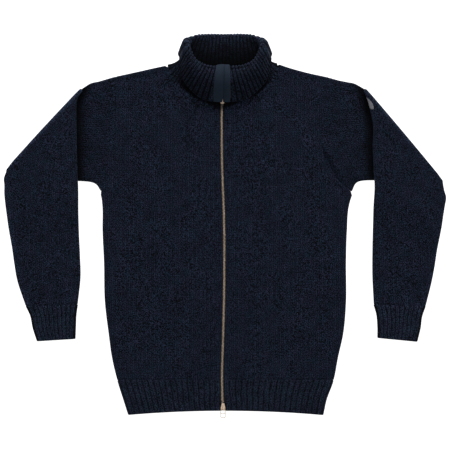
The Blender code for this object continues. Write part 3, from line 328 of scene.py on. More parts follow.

# %% [markdown]
# ## Plain knit
#
# The cloth is soft lambswool in stocking stitch: columns of small Vs, 4.4 mm wide and 3.4 mm high.
# The yarn is a melange of navy and grey-blue fibres, so no two stitches have one colour, and a halo
# of loose fibres makes the edges a little lighter. The Vs could be modelled one by one, but there are
# more than sixty thousand of them, so they are a bump that follows the UV map, where one unit is a
# stitch. Each stitch is painted lighter on its legs and darker in the gaps, as light and shade. Ribs
# have two columns each, with a groove between them that is painted dark, as shade, and each piece can
# carry a factor of painted light and shade of its own. Fibre mottling is really 0.2 mm fine; it is
# drawn 2 mm coarse here, as it must show in a picture where one pixel is 2 mm. Wider clouds of 15 mm
# stand for uneven dye and wear.

# %% Knit material, for plain cloth and for ribs
WALE = 4.4             # width of one stitch
COURSE = 3.4           # height of one row of stitches


def knit_material(name, dark, light, warm, depth, mottling, groove=0.0, wales=0.0):
    """Wool knit. Stitch height = (sin pi u)^0.6 * (0.35 + 0.65 sin^2 pi (v - 1.1 x)), x from the middle
    of the stitch; colour = a mix of three yarn colours by two noises, with painted light and shade by
    the stitch's height, painted shade by `groove` in the grooves between ribs, and the piece's own
    factor of painted light and shade. `wales` lets every other column of stitches be a little darker."""
    material, tree, shader = begin(name, Roughness=0.96, Sheen_Weight=0.16, Sheen_Roughness=0.4,
                                   Sheen_Tint=linear("#7d90bc"), Specular_IOR_Level=0.15)
    uv = add(tree, "UVMap", uv_map="stitches").outputs["UV"]
    parts = add(tree, "SeparateXYZ", {0: uv}).outputs
    place = add(tree, "TexCoord").outputs["Object"]
    painted_shading = add(tree, "Attribute", attribute_name="painted_shading").outputs["Fac"]
    values = {"x": parts["X"], "y": parts["Y"], "painted_shading": painted_shading}
    # a noise's scale, detail and roughness, the range of it that is used, and the range it is spread to
    for key, scale, detail, rough, low, high, least, most in (
            ("fibres", 580.0, 0.0, 0.5, 0.5 - mottling, 0.5 + mottling, 0.0, 1.0),
            ("tints", 70.0, 4.0, 0.6, 0.36, 0.64, 0.0, 1.0),
            ("clouds", 60.0, 3.0, 0.75, 0.3, 0.7, 0.66, 1.34)):
        noise = add(tree, "TexNoise", {"Vector": place, "Scale": scale, "Detail": detail,
                                       "Roughness": rough}).outputs["Fac"]
        values[key + " as they are"] = noise
        values[key] = add(tree, "MapRange", {"Value": noise, "From Min": low, "From Max": high,
                                             "To Min": least, "To Max": most}).outputs[0]
    # painted light and shade: lighter on a stitch's legs and darker between them (in stitch), darker in the
    # rib grooves (rib), and times the piece's own factor of painted light and shade
    sums(tree, values, (
        ("part", "FRACT", "x"), ("off", "SUBTRACT", "part", 0.5), ("leg", "ABSOLUTE", "off"),
        ("turn", "MULTIPLY", "part", np.pi), ("sine", "SINE", "turn"), ("width", "POWER", "sine", 0.6),
        ("slant", "MULTIPLY_ADD", "leg", -1.1, "y"), ("turn", "MULTIPLY", "slant", np.pi),
        ("sine", "SINE", "turn"), ("square", "POWER", "sine", 2.0),
        ("wave", "MULTIPLY_ADD", "square", 0.65, 0.35), ("stitch", "MULTIPLY", "width", "wave"),
        ("in stitch", "MULTIPLY_ADD", "stitch", 0.75, 0.5), ("shade", "MULTIPLY", "clouds", "in stitch"),
        ("turn", "MULTIPLY", "x", np.pi), ("sine", "SINE", "turn"),
        ("column", "MULTIPLY_ADD", "sine", wales, 1.0), ("shade", "MULTIPLY", "shade", "column"),
        ("turn", "MULTIPLY", "x", np.pi / 2), ("sine", "SINE", "turn"), ("rib", "ABSOLUTE", "sine"),
        ("rib", "MULTIPLY_ADD", "rib", groove, 1 - groove), ("shade", "MULTIPLY", "shade", "rib"),
        ("shade", "MULTIPLY", "shade", "painted_shading"),
        ("height", "MULTIPLY_ADD", "fibres as they are", 0.9, "stitch")))
    yarn = add(tree, "Mix", {0: values["tints"], 6: linear(light), 7: linear(warm)}, data_type="RGBA")
    dress(tree, shader, values["fibres"], linear(dark), yarn.outputs[2], values["height"], depth,
          shade=values["shade"])
    return material


# dark, light and warm yarn, height of a stitch in millimetres, half the range of noise from dark to light
knit = knit_material("lambswool_stocking_stitch", "#080b0f", "#353953", "#2b3c53", 0.7, 0.092, wales=0.08)
ribbing = knit_material("lambswool_rib_stitch", "#07090d", "#393d58", "#304156", 0.5, 0.085, groove=0.87)
welt = knit_material("lambswool_welt_stitch", "#080b0e", "#3b3f5b", "#33465c", 0.5, 0.085, groove=0.6)
print("stitches in a hundred millimetres:", round(100 / WALE), "across,", round(100 / COURSE), "up")

# %% [markdown]
# ## Measures of the garment
#
# These are the tables that the pattern gives: outlines of the body, armholes, shoulders and hem, the
# line of the zip, three lines of the collar, and the two long edges of each sleeve at every station.

# %% Tables
KNIT_WALL, RIB_WALL = 3.0, 3.6
INNER_TURN = 1.0       # radius inside a soft folded edge
BODY_TURN, RIB_TURN = INNER_TURN + KNIT_WALL, INNER_TURN + RIB_WALL
SEAM_GAP, NECK_GAP, ARMHOLE_GAP = -0.4, -0.4, -0.6       # sewn edges lap over each other
FRONT_LOFT, FRONT_SWELL = 0.6, 2.0     # the fronts lie this loose, and swell in their middle
RIB_RISE = 1.0         # how far ribs stand out of the wall
HEM_RIBS, CUFF_RIBS, COLLAR_RIBS = 18, 10, 54
# distance up the body, wearer's right edge, wearer's left edge
SIDE_EDGES = np.array([
    (-395, -204, 207), (-363, -214, 214), (-325, -226, 228), (-279, -237, 237), (-229, -244, 248),
    (-162, -252, 254), (-78, -254, 254), (-10, -257, 256), (42, -257.5, 260.5), (61, -260, 266),
    (71, -262.5, 269.5)], float)
ARMHOLES = {True: ((-260, 71), (-249, 105), (-235, 158), (-229, 242), (-231, 311)),
            False: ((266, 70), (239, 91), (213, 122), (204, 160), (206, 220), (220, 309))}
SHOULDERS = {True: ((-124, 335), (-145, 330), (-185, 321), (-231, 311)),
             False: ((110, 339), (134, 330), (166, 321), (220, 309))}
# the hem band from seam to edge; its sides hang lower by the bow, at half its width from the middle
HEM_SEAM_Y, HEM_EDGE_Y, HEM_BOW, HEM_HALF = -325.0, -389.5, 9.0, 205.0
# distance up the body, x of the middle of the zip's teeth
ZIP_LINE = np.array([(-395, -4.0), (-325, -6.3), (-241, -4.2), (-157, -2.1), (10, -2.1), (136, -6.3),
                     (242, -7.0)])
# from the middle to a front's edge, at the chain and at the slider, and where it opens to that
CHAIN_SLOT, SLIDER_SLOT, SLOT_OPENS = 3.1, 5.9, (-352.0, -366.0)
# distance up the body, height of the middle of the chain
CHAIN_HEIGHTS = ((-400, 5.5), (-331, 5.5), (-325, 5.1), (-290, 4.7), (242, 4.7))
CHAIN_START = -373.5
# a tape reaches out this far on the body, and to this share of the way round on the collar; lifts are
# from the middle of the collar's wall to its inner side
TAPE_THICK, TAPE_REACH, TAPE_SHARE, TAPE_LIFT = 0.8, 12.0, 0.955, 2.5
SLIDER_ENDS, SLIDER_HALF = (-388.5, -373.8), 5.0
PULL_PIVOT, PULL_SLOPE, PULL_LENGTH = np.array([-4.2, -385.5, 9.6]), 9.0, 18.5
PULL_HALF, PULL_WIRE = 5.2, 1.2
# a facing's outer edge at the roll and at the free edge; the two part from this step of the collar on
FACING_SHARE = {True: (0.905, 0.952), False: (0.938, 0.966)}
FACING_LIFT, FACING_THICK, FACING_OPENS = 4.4, 0.8, 2.79
TOP_SLIDER_STEPS = (2.87, 3.04)
# collar: share of the way round, then x, y of its neck seam, of its roll and of its free edge
COLLAR_LINES = np.array([
    (-1.00, -10.2, 242, -6.2, 326, -11.3, 257), (-0.87, -40, 254, -24, 326, -45, 262),
    (-0.73, -70, 270, -44, 330, -73, 284), (-0.60, -94, 290, -64, 342, -89, 308),
    (-0.467, -111, 315, -75, 367, -91, 337), (-0.367, -117, 335, -72, 380, -83, 363),
    (-0.267, -99, 327, -64, 392.5, -77, 365), (-0.14, -52, 316, -37, 395.5, -42, 341),
    (0.00, -6, 312, -4, 395, -6, 335), (0.14, 40, 317, 35, 395.5, 35, 341),
    (0.267, 86, 329, 63, 392.2, 75, 365), (0.367, 106, 338, 71.5, 379.3, 83, 362),
    (0.467, 104, 321, 75, 367, 92, 334), (0.60, 91, 295, 64, 342, 87, 304),
    (0.73, 67, 273, 44, 330, 68, 281), (0.87, 34, 257, 21, 326, 39, 261),
    (1.00, -3.8, 242, 0.2, 326, 0.3, 257)])
# where the stand bends at each crease; the creases' place, how wide the turn is, how hard it presses
COLLAR_KNEE = {True: (-83, 339), False: (79, 341)}
CREASE_SHARE, CREASE_SPAN, CREASE_PRESS = 0.367, 0.13, 1.7
# height of the wall at the seam and at the roll, in front and at the back, and the share of the stand
# in which the back climbs, in its middle and at the crease
STAND_FRONT, STAND_BACK, STAND_BACK_RISE = (7.2, 25.0), (1.8, 8.8), (0.17, 0.8)
# height of the turned-down layer at the roll and at its edge, the same at the back, and how far it
# stands out sideways at the crease
TURN_FRONT, TURN_BACK, TURN_CREASE = (33.0, 16.5), 1.8, (16.5, 12.5)
ROLL_BULGE = 9.0       # how far the turned-down layer stands up behind its roll
# sleeves, a row for each station: x, y of the shoulder-line edge and of the underarm edge
SLEEVES = {
    True: np.array([
        (-231, 311, -260, 71), (-248, 306, -278, 89), (-265, 301, -338, 94), (-282, 297, -388, 104),
        (-301, 285, -451, 113.5), (-299, 279, -458, 112), (-310, 258, -463, 97), (-311, 206, -462, 84),
        (-310, 162, -462, 65), (-309, 116, -460, 44), (-307, 74, -457, 21), (-307, 27, -453, -10),
        (-306, -19, -447, -46), (-304, -65, -442, -82), (-303, -111, -435, -120),
        (-309, -167, -418, -170)], float),
    False: np.array([
        (220, 309, 266, 70), (237, 304, 280, 90.5), (255, 300, 326, 93.5), (272, 296.5, 382, 92),
        (293, 285, 448, 90), (291, 279, 456, 90), (301, 252, 459, 73), (310, 206, 463, 57),
        (309, 162, 460, 38), (311, 120, 457, 19), (313, 80, 454, -2), (311, 40, 450, -25),
        (310, -6, 445, -52), (309, -57, 440, -86), (309, -107, 433, -122), (312, -167, 421, -170)], float)}
# height of a sleeve's middle at each station; from the fold on it lies on the layer below
SLEEVE_HEIGHTS = np.array([4.0] * 5 + [13.2] * 5 + [13.0, 9.4, 5.6, 4.2, 4.0, 4.0])
# the fold follows the station of this number, along this line
FOLD_STATION = 4
FOLD_LINES = {True: np.array([-297, 281, -451, 113.5]), False: np.array([289, 281, 448, 90.0])}
SLEEVE_LOFT, ARMHOLE_FADE = (0.3, 1.8), 3.0      # looseness before and after the fold; stations
# cuffs, the same two edges from seam to free edge
CUFFS = {
    True: ((-309, -167, -418, -170), (-312, -189, -408, -191), (-313, -214, -403, -216),
           (-314, -239, -394, -244)),
    False: ((312, -167, 421, -170), (318, -189, 413, -193), (320, -214, 410, -216),
            (320, -237, 403, -245))}
print("sleeve stations:", len(SLEEVES[True]), "collar lines:", len(COLLAR_LINES))


# %% [markdown]
# ## Soft folds
#
# Laid-out cloth isn't flat. It keeps long low ridges and troughs where it was pulled straight, and a
# pair of sharper ones runs from the armhole on the wearer's left down to the underarm. A cloth
# simulation would put folds where it likes. These are listed instead: each is a rounded ridge
# across a line, and it fades out at both ends. A few slow sine waves keep the rest from being flat.

# %% Folds and slow waves of the surface
# from x, y, to x, y, width on the left of that way and on its right, height
FOLDS = (
    (206, 166, 250, 84, 13, 4, 3.4), (204, 156, 247, 78, 6, 9, -3.2), (236, 168, 272, 98, 13, 15, 2.8),
    (186, 150, 222, 86, 9, 9, 1.0), (-262, 112, -300, 100, 14, 14, 0.9),
    (-60, -170, -70, -300, 26, 26, 1.1), (104, -120, 112, -290, 22, 22, -1.3),
    (128, -130, 134, -280, 12, 12, 0.8), (-150, 60, -120, -120, 34, 34, 1.0),
    (150, 90, 132, -90, 34, 34, 1.0), (-74, -180, -84, -270, 14, 14, -0.9),
    (84, -150, 88, -260, 12, 12, -0.8), (-205, 296, -135, 316, 13, 13, -1.3),
    (150, 316, 205, 298, 13, 13, -1.3), (60, 250, 180, 150, 40, 40, 0.9),
    (-60, 250, -190, 160, 44, 44, 0.8), (-215, -40, -205, -250, 18, 18, 0.8),
    (215, -40, 205, -250, 18, 18, 0.8), (-299, 268, -299, 92, 7, 9, -1.7),
    (296, 268, 300, 92, 9, 7, -1.7))
# which waves a panel gets; a sleeve's front goes on from those of the body beside it
WAVE_SEED = {"front": 3, "back": 5, "hem": 11, "sleeve": 7}


def fold_lift(x, y):
    """Sum of the folds: height * exp(-(distance from the line / width)^2), faded beyond its ends."""
    lift = np.zeros_like(x)
    for x0, y0, x1, y1, left, right, height in FOLDS:
        length = np.hypot(x1 - x0, y1 - y0)
        run_x, run_y = (x1 - x0) / length, (y1 - y0) / length
        ahead = ((x - x0) * run_x + (y - y0) * run_y) / length
        aside = -(x - x0) * run_y + (y - y0) * run_x
        aside = aside / np.where(aside > 0, left, right)
        lift += height * ramp(ahead + 0.25, 0, 0.4) * ramp(1.25 - ahead, 0, 0.4) * bump(aside)
    return lift


def slow_waves(x, y, seed):
    """Gentle unevenness: the mean of eight sine waves, 60 to 180 mm long, in fixed directions."""
    source = np.random.default_rng(seed)
    total = np.zeros_like(x)
    for _ in range(8):
        angle, phase = source.uniform(0, 2 * np.pi, 2)
        length = source.uniform(60, 180)
        total += np.sin(2 * np.pi * (x * np.cos(angle) + y * np.sin(angle)) / length + phase)
    return total / 8


print("deepest fold:", min(row[6] for row in FOLDS), "highest:", max(row[6] for row in FOLDS))


# %% [markdown]
# ## Collar surface
#
# The collar is one ribbed tube. It rises from the neckline, rolls over and comes down outside itself.
# Lofting it through sections by hand would be slow to correct. Here a point is found from two numbers:
# the share of the way round, and a step that is 0 to 1 up the stand, 1 to 2 round the roll and 2 to 3
# down the turned-down layer. The front half lies on the back half, and it swings round two creases.

# %% Middle of the collar's wall, and its two faces
def collar_turn(share):
    """Angle of the wall: -90 degrees on the back half, 90 on the front half, eased between."""
    swing = np.clip((np.abs(share) - CREASE_SHARE) / CREASE_SPAN, -1, 1)
    return np.pi / 2 * (1.5 * swing - 0.5 * swing**3)


def collar_middle(share, step):
    """Stand: quadratic curve seam - knee - roll line. Roll: half circle. Then straight to the edge.

    Heights go from the front value to the back value by the sine of the turn, and the creases stand
    out sideways by its cosine.
    """
    lines = smooth(COLLAR_LINES[:, 0], COLLAR_LINES[:, 1:], share)
    seam, fold, edge = lines[..., 0:2], lines[..., 2:4], lines[..., 4:6]
    turn, side = collar_turn(share), np.sign(share)
    pull = bump(np.abs(share), CREASE_SHARE, 0.12)[..., None]
    knees = np.where((share < 0)[..., None], COLLAR_KNEE[True], COLLAR_KNEE[False])
    knee = (1 - pull) * (seam + fold) / 2 + pull * knees

    def stand(at):
        at = np.broadcast_to(at, share.shape)
        flat = ((1 - at)**2)[..., None] * seam + (2 * at * (1 - at))[..., None] * knee
        flat = flat + (at**2)[..., None] * fold
        front = between(STAND_FRONT, at**1.5)
        climb = between(STAND_BACK_RISE, ramp(np.abs(share), 0.1, CREASE_SHARE - 0.1)**2)
        back = between(STAND_BACK, ramp(at / climb))
        half = (front - back) / 2
        x = flat[..., 0] + side * np.cos(turn) * half * (1 - 0.8 * ramp(at, 0.4, 0.6))
        return np.stack([x, flat[..., 1], (front + back) / 2 + np.sin(turn) * half], axis=-1)

    def turned_down(at):
        at = np.broadcast_to(at, share.shape)
        flat = at[..., None] * edge + (1 - at)[..., None] * fold
        # 6.75 t (1 - t)^2 is 1 at its highest, a third of the way down
        front = between(TURN_FRONT, at) + ROLL_BULGE * 6.75 * at * (1 - at)**2
        x = flat[..., 0] + side * np.cos(turn) * between(TURN_CREASE, at)
        z = (front + TURN_BACK) / 2 + np.sin(turn) * (front - TURN_BACK) / 2
        return np.stack([x, flat[..., 1], z], axis=-1)

    low, high = stand(1.0), turned_down(0.0)
    across = unit(high - low)
    ahead = low - stand(0.97)
    ahead = unit(ahead - np.sum(ahead * across, axis=-1, keepdims=True) * across)
    radius = np.linalg.norm(high - low, axis=-1, keepdims=True) / 2
    angle = np.pi * np.clip(step - 1, 0, 1)[..., None]
    roll = (low + high) / 2 + radius * (np.sin(angle) * ahead - np.cos(angle) * across)
    points = np.where((step < 1)[..., None], stand(np.clip(step, 0, 1)), roll)
    return np.where((step > 2)[..., None], turned_down(np.clip(step - 2, 0, 1)), points)


def collar_face(share, step, lift):
    """Middle point + lift * normal; the normal is the cross product of the surface's directions."""
    share, step = np.broadcast_arrays(np.asarray(share, float), np.asarray(step, float))
    tiny = 1e-3
    share_in, step_in = np.clip(share, -1 + tiny, 1 - tiny), np.clip(step, tiny, 3 - tiny)
    round_way = collar_middle(share_in + tiny, step_in) - collar_middle(share_in - tiny, step_in)
    up_way = collar_middle(share_in, step_in + tiny) - collar_middle(share_in, step_in - tiny)
    normal = unit(np.cross(round_way, up_way))
    return collar_middle(share, step) + normal * np.broadcast_to(lift, share.shape)[..., None]


def rib_wave(count):
    """Height of ribbing at `count` ribs from the start, 0 in a groove and 1 on a rib.

    |sin pi t|^0.6 gives round ribs with narrow grooves.
    """
    return np.abs(np.sin(np.pi * count))**0.6


def collar_ribs(share):
    """Ribs counted from the zip; they keep one pitch along the roll line."""
    way = np.linspace(-1, 1, 801)
    length = walked(smooth(COLLAR_LINES[:, 0], COLLAR_LINES[:, 3:5], way))
    return np.interp(share, way, length / length[-1]) * COLLAR_RIBS


# %% Collar piece
FLAT_BY_ZIP = 0.925    # beyond this share the ribs are pressed flat under the zip's facing
RIB_GROOVE, COLLAR_GROOVE = 0.8, 1.6     # how far the grooves go into the wall
BASE_GROOVE = 1.2      # the same on the outside of the stand
COLLAR_CELLS, COLLAR_CELL = 360, 1.3     # grid round the collar: how many, how wide
END_STEP = 2.975       # from this step on the wall is rounded towards the free edge
# painted shade, how much darker the knit is drawn: in the hollow under the roll, in the neck, in the
# neck's corners, low on the back half, where it turns round a crease, and towards the free edge on each
# side
GAP_SHADE, NECK_SHADE, CORNER_SHADE, BACK_SHADE, CREASE_SHADE = 0.88, 0.94, 0.8, 0.3, 0.35
EDGE_SHADE = {True: 0.4, False: 0.25}
# painted light, how much lighter the roll is drawn, and more so at the back
ROLL_LIGHT, BACK_LIGHT = 0.55, 0.4         # how much paler it is on the roll, and more so at the back


def make_collar():
    """Both faces of the collar, with ribs on the side that shows."""
    lines, side_thin = edge_lines(COLLAR_CELLS + 1, COLLAR_CELL, RIB_WALL / 2, True, True)
    share = (lines / COLLAR_CELLS * 2 - 1)[None]
    climb = np.concatenate([np.linspace(0, 0.17, 6)[:-1], np.linspace(0.17, 1, 18)[:-1],
                            np.linspace(1, 2, 22)[:-1], np.linspace(2, END_STEP, 19),
                            [2.981, 2.988, 2.994, 2.998, 3.0]])
    end_thin = np.sqrt(1 - np.clip((climb - END_STEP) / 0.025, 0, 0.985)**2)
    share, step = np.broadcast_arrays(share, climb[:, None])
    around, turn = np.abs(share), collar_turn(share)
    in_front = ramp(turn)
    at_back = 1 - in_front
    shows = np.where(step < 0.9, ramp(-0.4 - turn), np.where(step > 1.9, ramp(turn + 1.4), 1.0))
    by_zip = 1 - ramp(around - FLAT_BY_ZIP + 0.02, 0, 0.02)
    ribs = collar_ribs(share)
    lift = ((RIB_RISE + COLLAR_GROOVE) * rib_wave(ribs) - COLLAR_GROOVE) * by_zip * shows
    pressed = CREASE_PRESS * np.cos(turn)**2 * (1 - ramp(step, 0.6, 0.4))
    shown = collar_face(share, step, RIB_WALL / 2 + lift - pressed)
    # on the stand's outer side the ribs show where it leaves the neck seam
    base = in_front * (1 - ramp(step, 0.12, 0.3)) * by_zip
    hidden = collar_face(share, step, -RIB_WALL / 2 - BASE_GROOVE * base * rib_wave(ribs))
    length = walked(shown[:, COLLAR_CELLS // 6])
    stitches = np.stack([ribs * 2, np.broadcast_to(length[:, None] / COURSE, ribs.shape)], axis=2)
    # painted shade on the inside, which gets little light, and painted light on the roll, where the light
    # falls
    in_gap = ramp(around, 0.45, 0.2) * ramp(step, 0.015, 0.04) * (step < 1)
    in_neck = at_back * (1 - ramp(step, 0.22, 0.85))
    in_corner = at_back * ramp(around, 0.1, 0.2) * (1 - ramp(step, 0.8, 0.4))
    low = in_front * ramp(step, 2.3, 0.6) * by_zip
    painted_shading = (1 - GAP_SHADE * in_gap) * (1 - NECK_SHADE * in_neck) * (1 - CORNER_SHADE * in_corner)
    painted_shading = painted_shading * (1 - BACK_SHADE * at_back * (1 - ramp(step, 0.85, 0.25)))
    painted_shading = painted_shading * (1 - np.where(share < 0, EDGE_SHADE[True], EDGE_SHADE[False]) * low)
    painted_shading = painted_shading * (1 + (ROLL_LIGHT + BACK_LIGHT * at_back) * bump(step, 1.2, 0.4))
    painted_shading = painted_shading * (1 - CREASE_SHADE * np.cos(turn)**2 * (step > 0.9))
    return shell("collar_rib", shown, hidden, stitches, ribbing,
                 thin=end_thin[:, None] * side_thin[None], painted_shading=painted_shading)


collar = make_collar()


# %% [markdown]
# ## Body panels
#
# The body is a flattened tube of three panels: a back and two fronts. Each panel is a grid between
# its four borders. At a side seam or a shoulder the cloth bends down along a quarter circle to meet
# the other layer at half height. At the neck and armhole it runs out flat to the seam.

# %% A panel with folded and flat borders
EDGE_ANGLES = np.radians([0, 8, 18, 30, 42, 54, 66, 78])


def border_lines(count, before, after):
    """Lines of a panel with the steps round its folded edges: start line, side, cosine and sine."""
    steps = [(0, -1, np.cos(a), np.sin(a)) for a in EDGE_ANGLES] if before else []
    ends = [(count - 1, 1, np.cos(a), np.sin(a)) for a in EDGE_ANGLES[::-1]] if after else []
    return np.array(steps + [(line, 0, 0.0, 1.0) for line in range(count)] + ends)


def panel_faces(plan, borders, facing, turn, wall, loft, relief, thin):
    """Faces of a panel: flat point = start + outward * radius * cos, height = radius * sin.

    borders gives for "left", "right" and "top" the outward normals and how much each line is folded
    down there. Where a border isn't folded it keeps its height, and its edge is rounded.
    """
    rows, columns = plan.shape[:2]
    across = border_lines(columns, "left" in borders, "right" in borders)
    up = border_lines(rows, False, "top" in borders)
    column, row = across[:, 0].astype(int), up[:, 0].astype(int)
    side_out, side_fold = np.zeros((len(up), len(across), 2)), np.zeros((len(up), len(across)))
    for border, side in (("left", -1), ("right", 1)):
        if border in borders:
            here = across[:, 1] == side
            side_out[:, here] = borders[border][0][row][:, None]
            side_fold[:, here] = borders[border][1][row][:, None]
    top_out, top_fold = np.zeros_like(side_out), np.zeros_like(side_fold)
    if "top" in borders:
        here = up[:, 1] == 1
        top_out[here] = borders["top"][0][column][None]
        top_fold[here] = borders["top"][1][column][None]
    start, lift, ribs = plan[row][:, column], loft[row][:, column], relief[row][:, column]
    side_cos, side_sin = across[None, :, 2], across[None, :, 3]
    top_cos, top_sin = up[:, None, 2], up[:, None, 3]
    rise = (side_fold * side_sin + 1 - side_fold) * (top_fold * top_sin + 1 - top_fold)

    def face(radius, extra):
        side_reach = (side_fold * radius + (1 - side_fold) * turn) * side_cos
        top_reach = (top_fold * radius + (1 - top_fold) * turn) * top_cos
        flat = start + side_out * side_reach[..., None] + top_out * top_reach[..., None]
        height = turn + facing * (SEAM_GAP / 2 + rise * (radius + lift + extra - SEAM_GAP / 2))
        return np.concatenate([flat, height[..., None]], axis=2)

    depth = thin[row][:, column]
    for cosine, fold in ((side_cos, side_fold), (top_cos, top_fold)):
        out = np.clip((turn * cosine - (turn - wall / 2)) / (wall / 2), 0, 0.985)
        depth = depth * (1 - (1 - fold) * (1 - np.sqrt(1 - out**2)))
    return face(turn, ribs), face(INNER_TURN, 0 * ribs), depth


def upward(normals):
    """Plan normals, each turned to the side that lies up the body."""
    return normals * np.sign(normals[:, 1:2])


def zip_x(y):
    """x of the middle of the teeth at a distance up the body."""
    return smooth(ZIP_LINE[:, 0], ZIP_LINE[:, 1:], y)[..., 0]


def side_edge(right, heights):
    """Plan points of a side of the body, with outward normals."""
    column = 1 if right else 2
    x = smooth(SIDE_EDGES[:, 0], SIDE_EDGES[:, column:column + 1], heights)[..., 0]
    side = np.stack([x, heights], axis=1)
    return side, left_normals(side) * (1 if right else -1)


def armhole_shares(right, shares):
    """Shares of the armhole's length for shares across the sleeve between its folded edges."""
    hole = np.array(ARMHOLES[right], float)
    edge = BODY_TURN / np.hypot(*(hole[-1] - hole[0]))
    return edge + shares * (1 - 2 * edge)


def body_side(right, low_rows, high_rows):
    """Side edge and armhole as one line: points, normals, and 1 where the side is folded."""
    hole = np.array(ARMHOLES[right], float)
    underarm = hole[0, 1]
    heights = np.linspace(HEM_SEAM_Y + SEAM_GAP, underarm - 2 * BODY_TURN, low_rows)
    side, side_out = side_edge(right, heights)
    arm = along(hole[::-1], armhole_shares(right, np.linspace(1, 0, high_rows)))
    arm_out = left_normals(arm) * (1 if right else -1)
    arm = arm - arm_out * ARMHOLE_GAP
    folded = np.append(1 - ramp(heights - underarm + 26, 0, 18), np.zeros(high_rows))
    return np.concatenate([side, arm]), np.concatenate([side_out, arm_out]), folded


def neck_points(side, share):
    """Points of the neck seam, outside the collar's wall where it turns round its crease."""
    line = smooth(COLLAR_LINES[:, 0], COLLAR_LINES[:, 1:3], share)
    line[:, 0] += side * np.cos(collar_turn(share)) * (STAND_FRONT[0] - STAND_BACK[0] + RIB_WALL) / 2
    return line


def neck_line(front, right, count):
    """Half of the neck seam, from the middle of the front or the back to the collar's crease."""
    side = -1 if right else 1
    ends = (CREASE_SHARE, 1.0 if front else 0.0)
    return neck_points(side, side * between(ends, np.linspace(1, 0, count)**1.15))


def shoulder_line(right, count):
    """Shoulder fold from its tip to the neck point."""
    rows = np.array(SHOULDERS[right], float)
    rows[0] = neck_line(True, right, 2)[-1]
    return along(rows, np.linspace(1, 0, count))


def corner_slide(neck, out):
    """Move neck points away from the shoulder fold, less and less: turn * exp(-distance / 6)."""
    distance = np.linalg.norm(neck - neck[0], axis=1)
    return -out * (BODY_TURN * np.exp(-distance / 6.0))[:, None]


# %% Fronts
FRONT_WAVES = 1.3      # height of the slow waves
PLACKET_RISE = 0.5


def knit_shell(name, shown, hidden, thin):
    """Panel of plain knit, with its stitches counted along X and Y."""
    stitches = np.stack([shown[..., 0] / WALE, shown[..., 1] / COURSE], axis=2)
    return shell(name, shown, hidden, stitches, knit, thin=thin)


def make_front(right):
    """One front: grid between hem seam, armhole side, shoulder with neck, and zip edge."""
    sign = -1 if right else 1
    low_rows, high_rows, shoulder_columns, neck_columns = 72, 52, 26, 44
    side, side_out, side_fold = body_side(right, low_rows, high_rows)
    neck = neck_line(True, right, neck_columns + 1)[::-1]
    shoulder = shoulder_line(right, shoulder_columns + 1)
    shoulder_out, neck_out = upward(left_normals(shoulder)[:-1]), upward(left_normals(neck))
    top = np.concatenate([shoulder[:-1], neck - neck_out * NECK_GAP])
    top_out = np.concatenate([shoulder_out, neck_out])
    top_fold = np.append(np.ones(shoulder_columns), np.zeros(neck_columns + 1))
    top_out[0], top_out[-1] = unit(side[-1] - side[-2]), (0.0, 1.0)
    inset_side, inset_top = side - side_out * BODY_TURN, top - top_out * BODY_TURN
    inset_top[shoulder_columns:] += corner_slide(neck, shoulder_out[-1])
    heights = np.linspace(side[0, 1], top[-1, 1] - BODY_TURN, low_rows + high_rows)
    edge = np.stack([zip_x(heights) + sign * CHAIN_SLOT, heights], axis=1)
    inset_top[0], inset_top[-1] = inset_side[-1], edge[-1]
    across = np.linspace(0, 1, len(inset_top))
    bottom = inset_side[0] * (1 - across[:, None]) + edge[0] * across[:, None]
    rows, row_thin = edge_lines(len(heights), 5.0, KNIT_WALL / 2, True, False)
    columns, column_thin = edge_lines(len(across), 3.4, KNIT_WALL / 2, False, True)
    plan = pick(coons(bottom, inset_top, inset_side, edge), rows, columns)
    share_up, share_across = rows[:, None] / rows[-1], columns[None] / columns[-1]
    swell = np.sin(np.pi * share_across) * np.sin(np.pi * (0.1 + 0.8 * share_up))
    x, y = plan[..., 0], plan[..., 1]
    edge_fade = ramp(share_across, 0, 0.06) * ramp(1 - share_across, 0, 0.05) * ramp(share_up, 0, 0.04)
    loft = FRONT_LOFT + FRONT_SWELL * swell * share_across**0.5
    loft = loft + edge_fade * (fold_lift(x, y) + FRONT_WAVES * slow_waves(x, y, WAVE_SEED["front"]))
    # the placket stands up a little beside the zip, where the tape is sewn in behind it
    by_zip = (1 - share_across) * np.abs(x[:, :1] - x[:, -1:])
    loft = loft + PLACKET_RISE * bump(by_zip, 5, 3.5) - PLACKET_RISE * bump(by_zip, 12, 2.0)
    borders = {"left": (pick_line(side_out, rows), pick_line(side_fold, rows)),
               "top": (pick_line(top_out, columns), pick_line(top_fold, columns))}
    faces = panel_faces(plan, borders, 1, BODY_TURN, KNIT_WALL, loft, 0 * loft,
                        row_thin[:, None] * column_thin[None])
    return knit_shell(side_name("front_%_knit", right), *faces)


fronts = {right: make_front(right) for right in (True, False)}


# %% Back
BACK_SINK = 0.3        # its slow waves reach this far towards the table


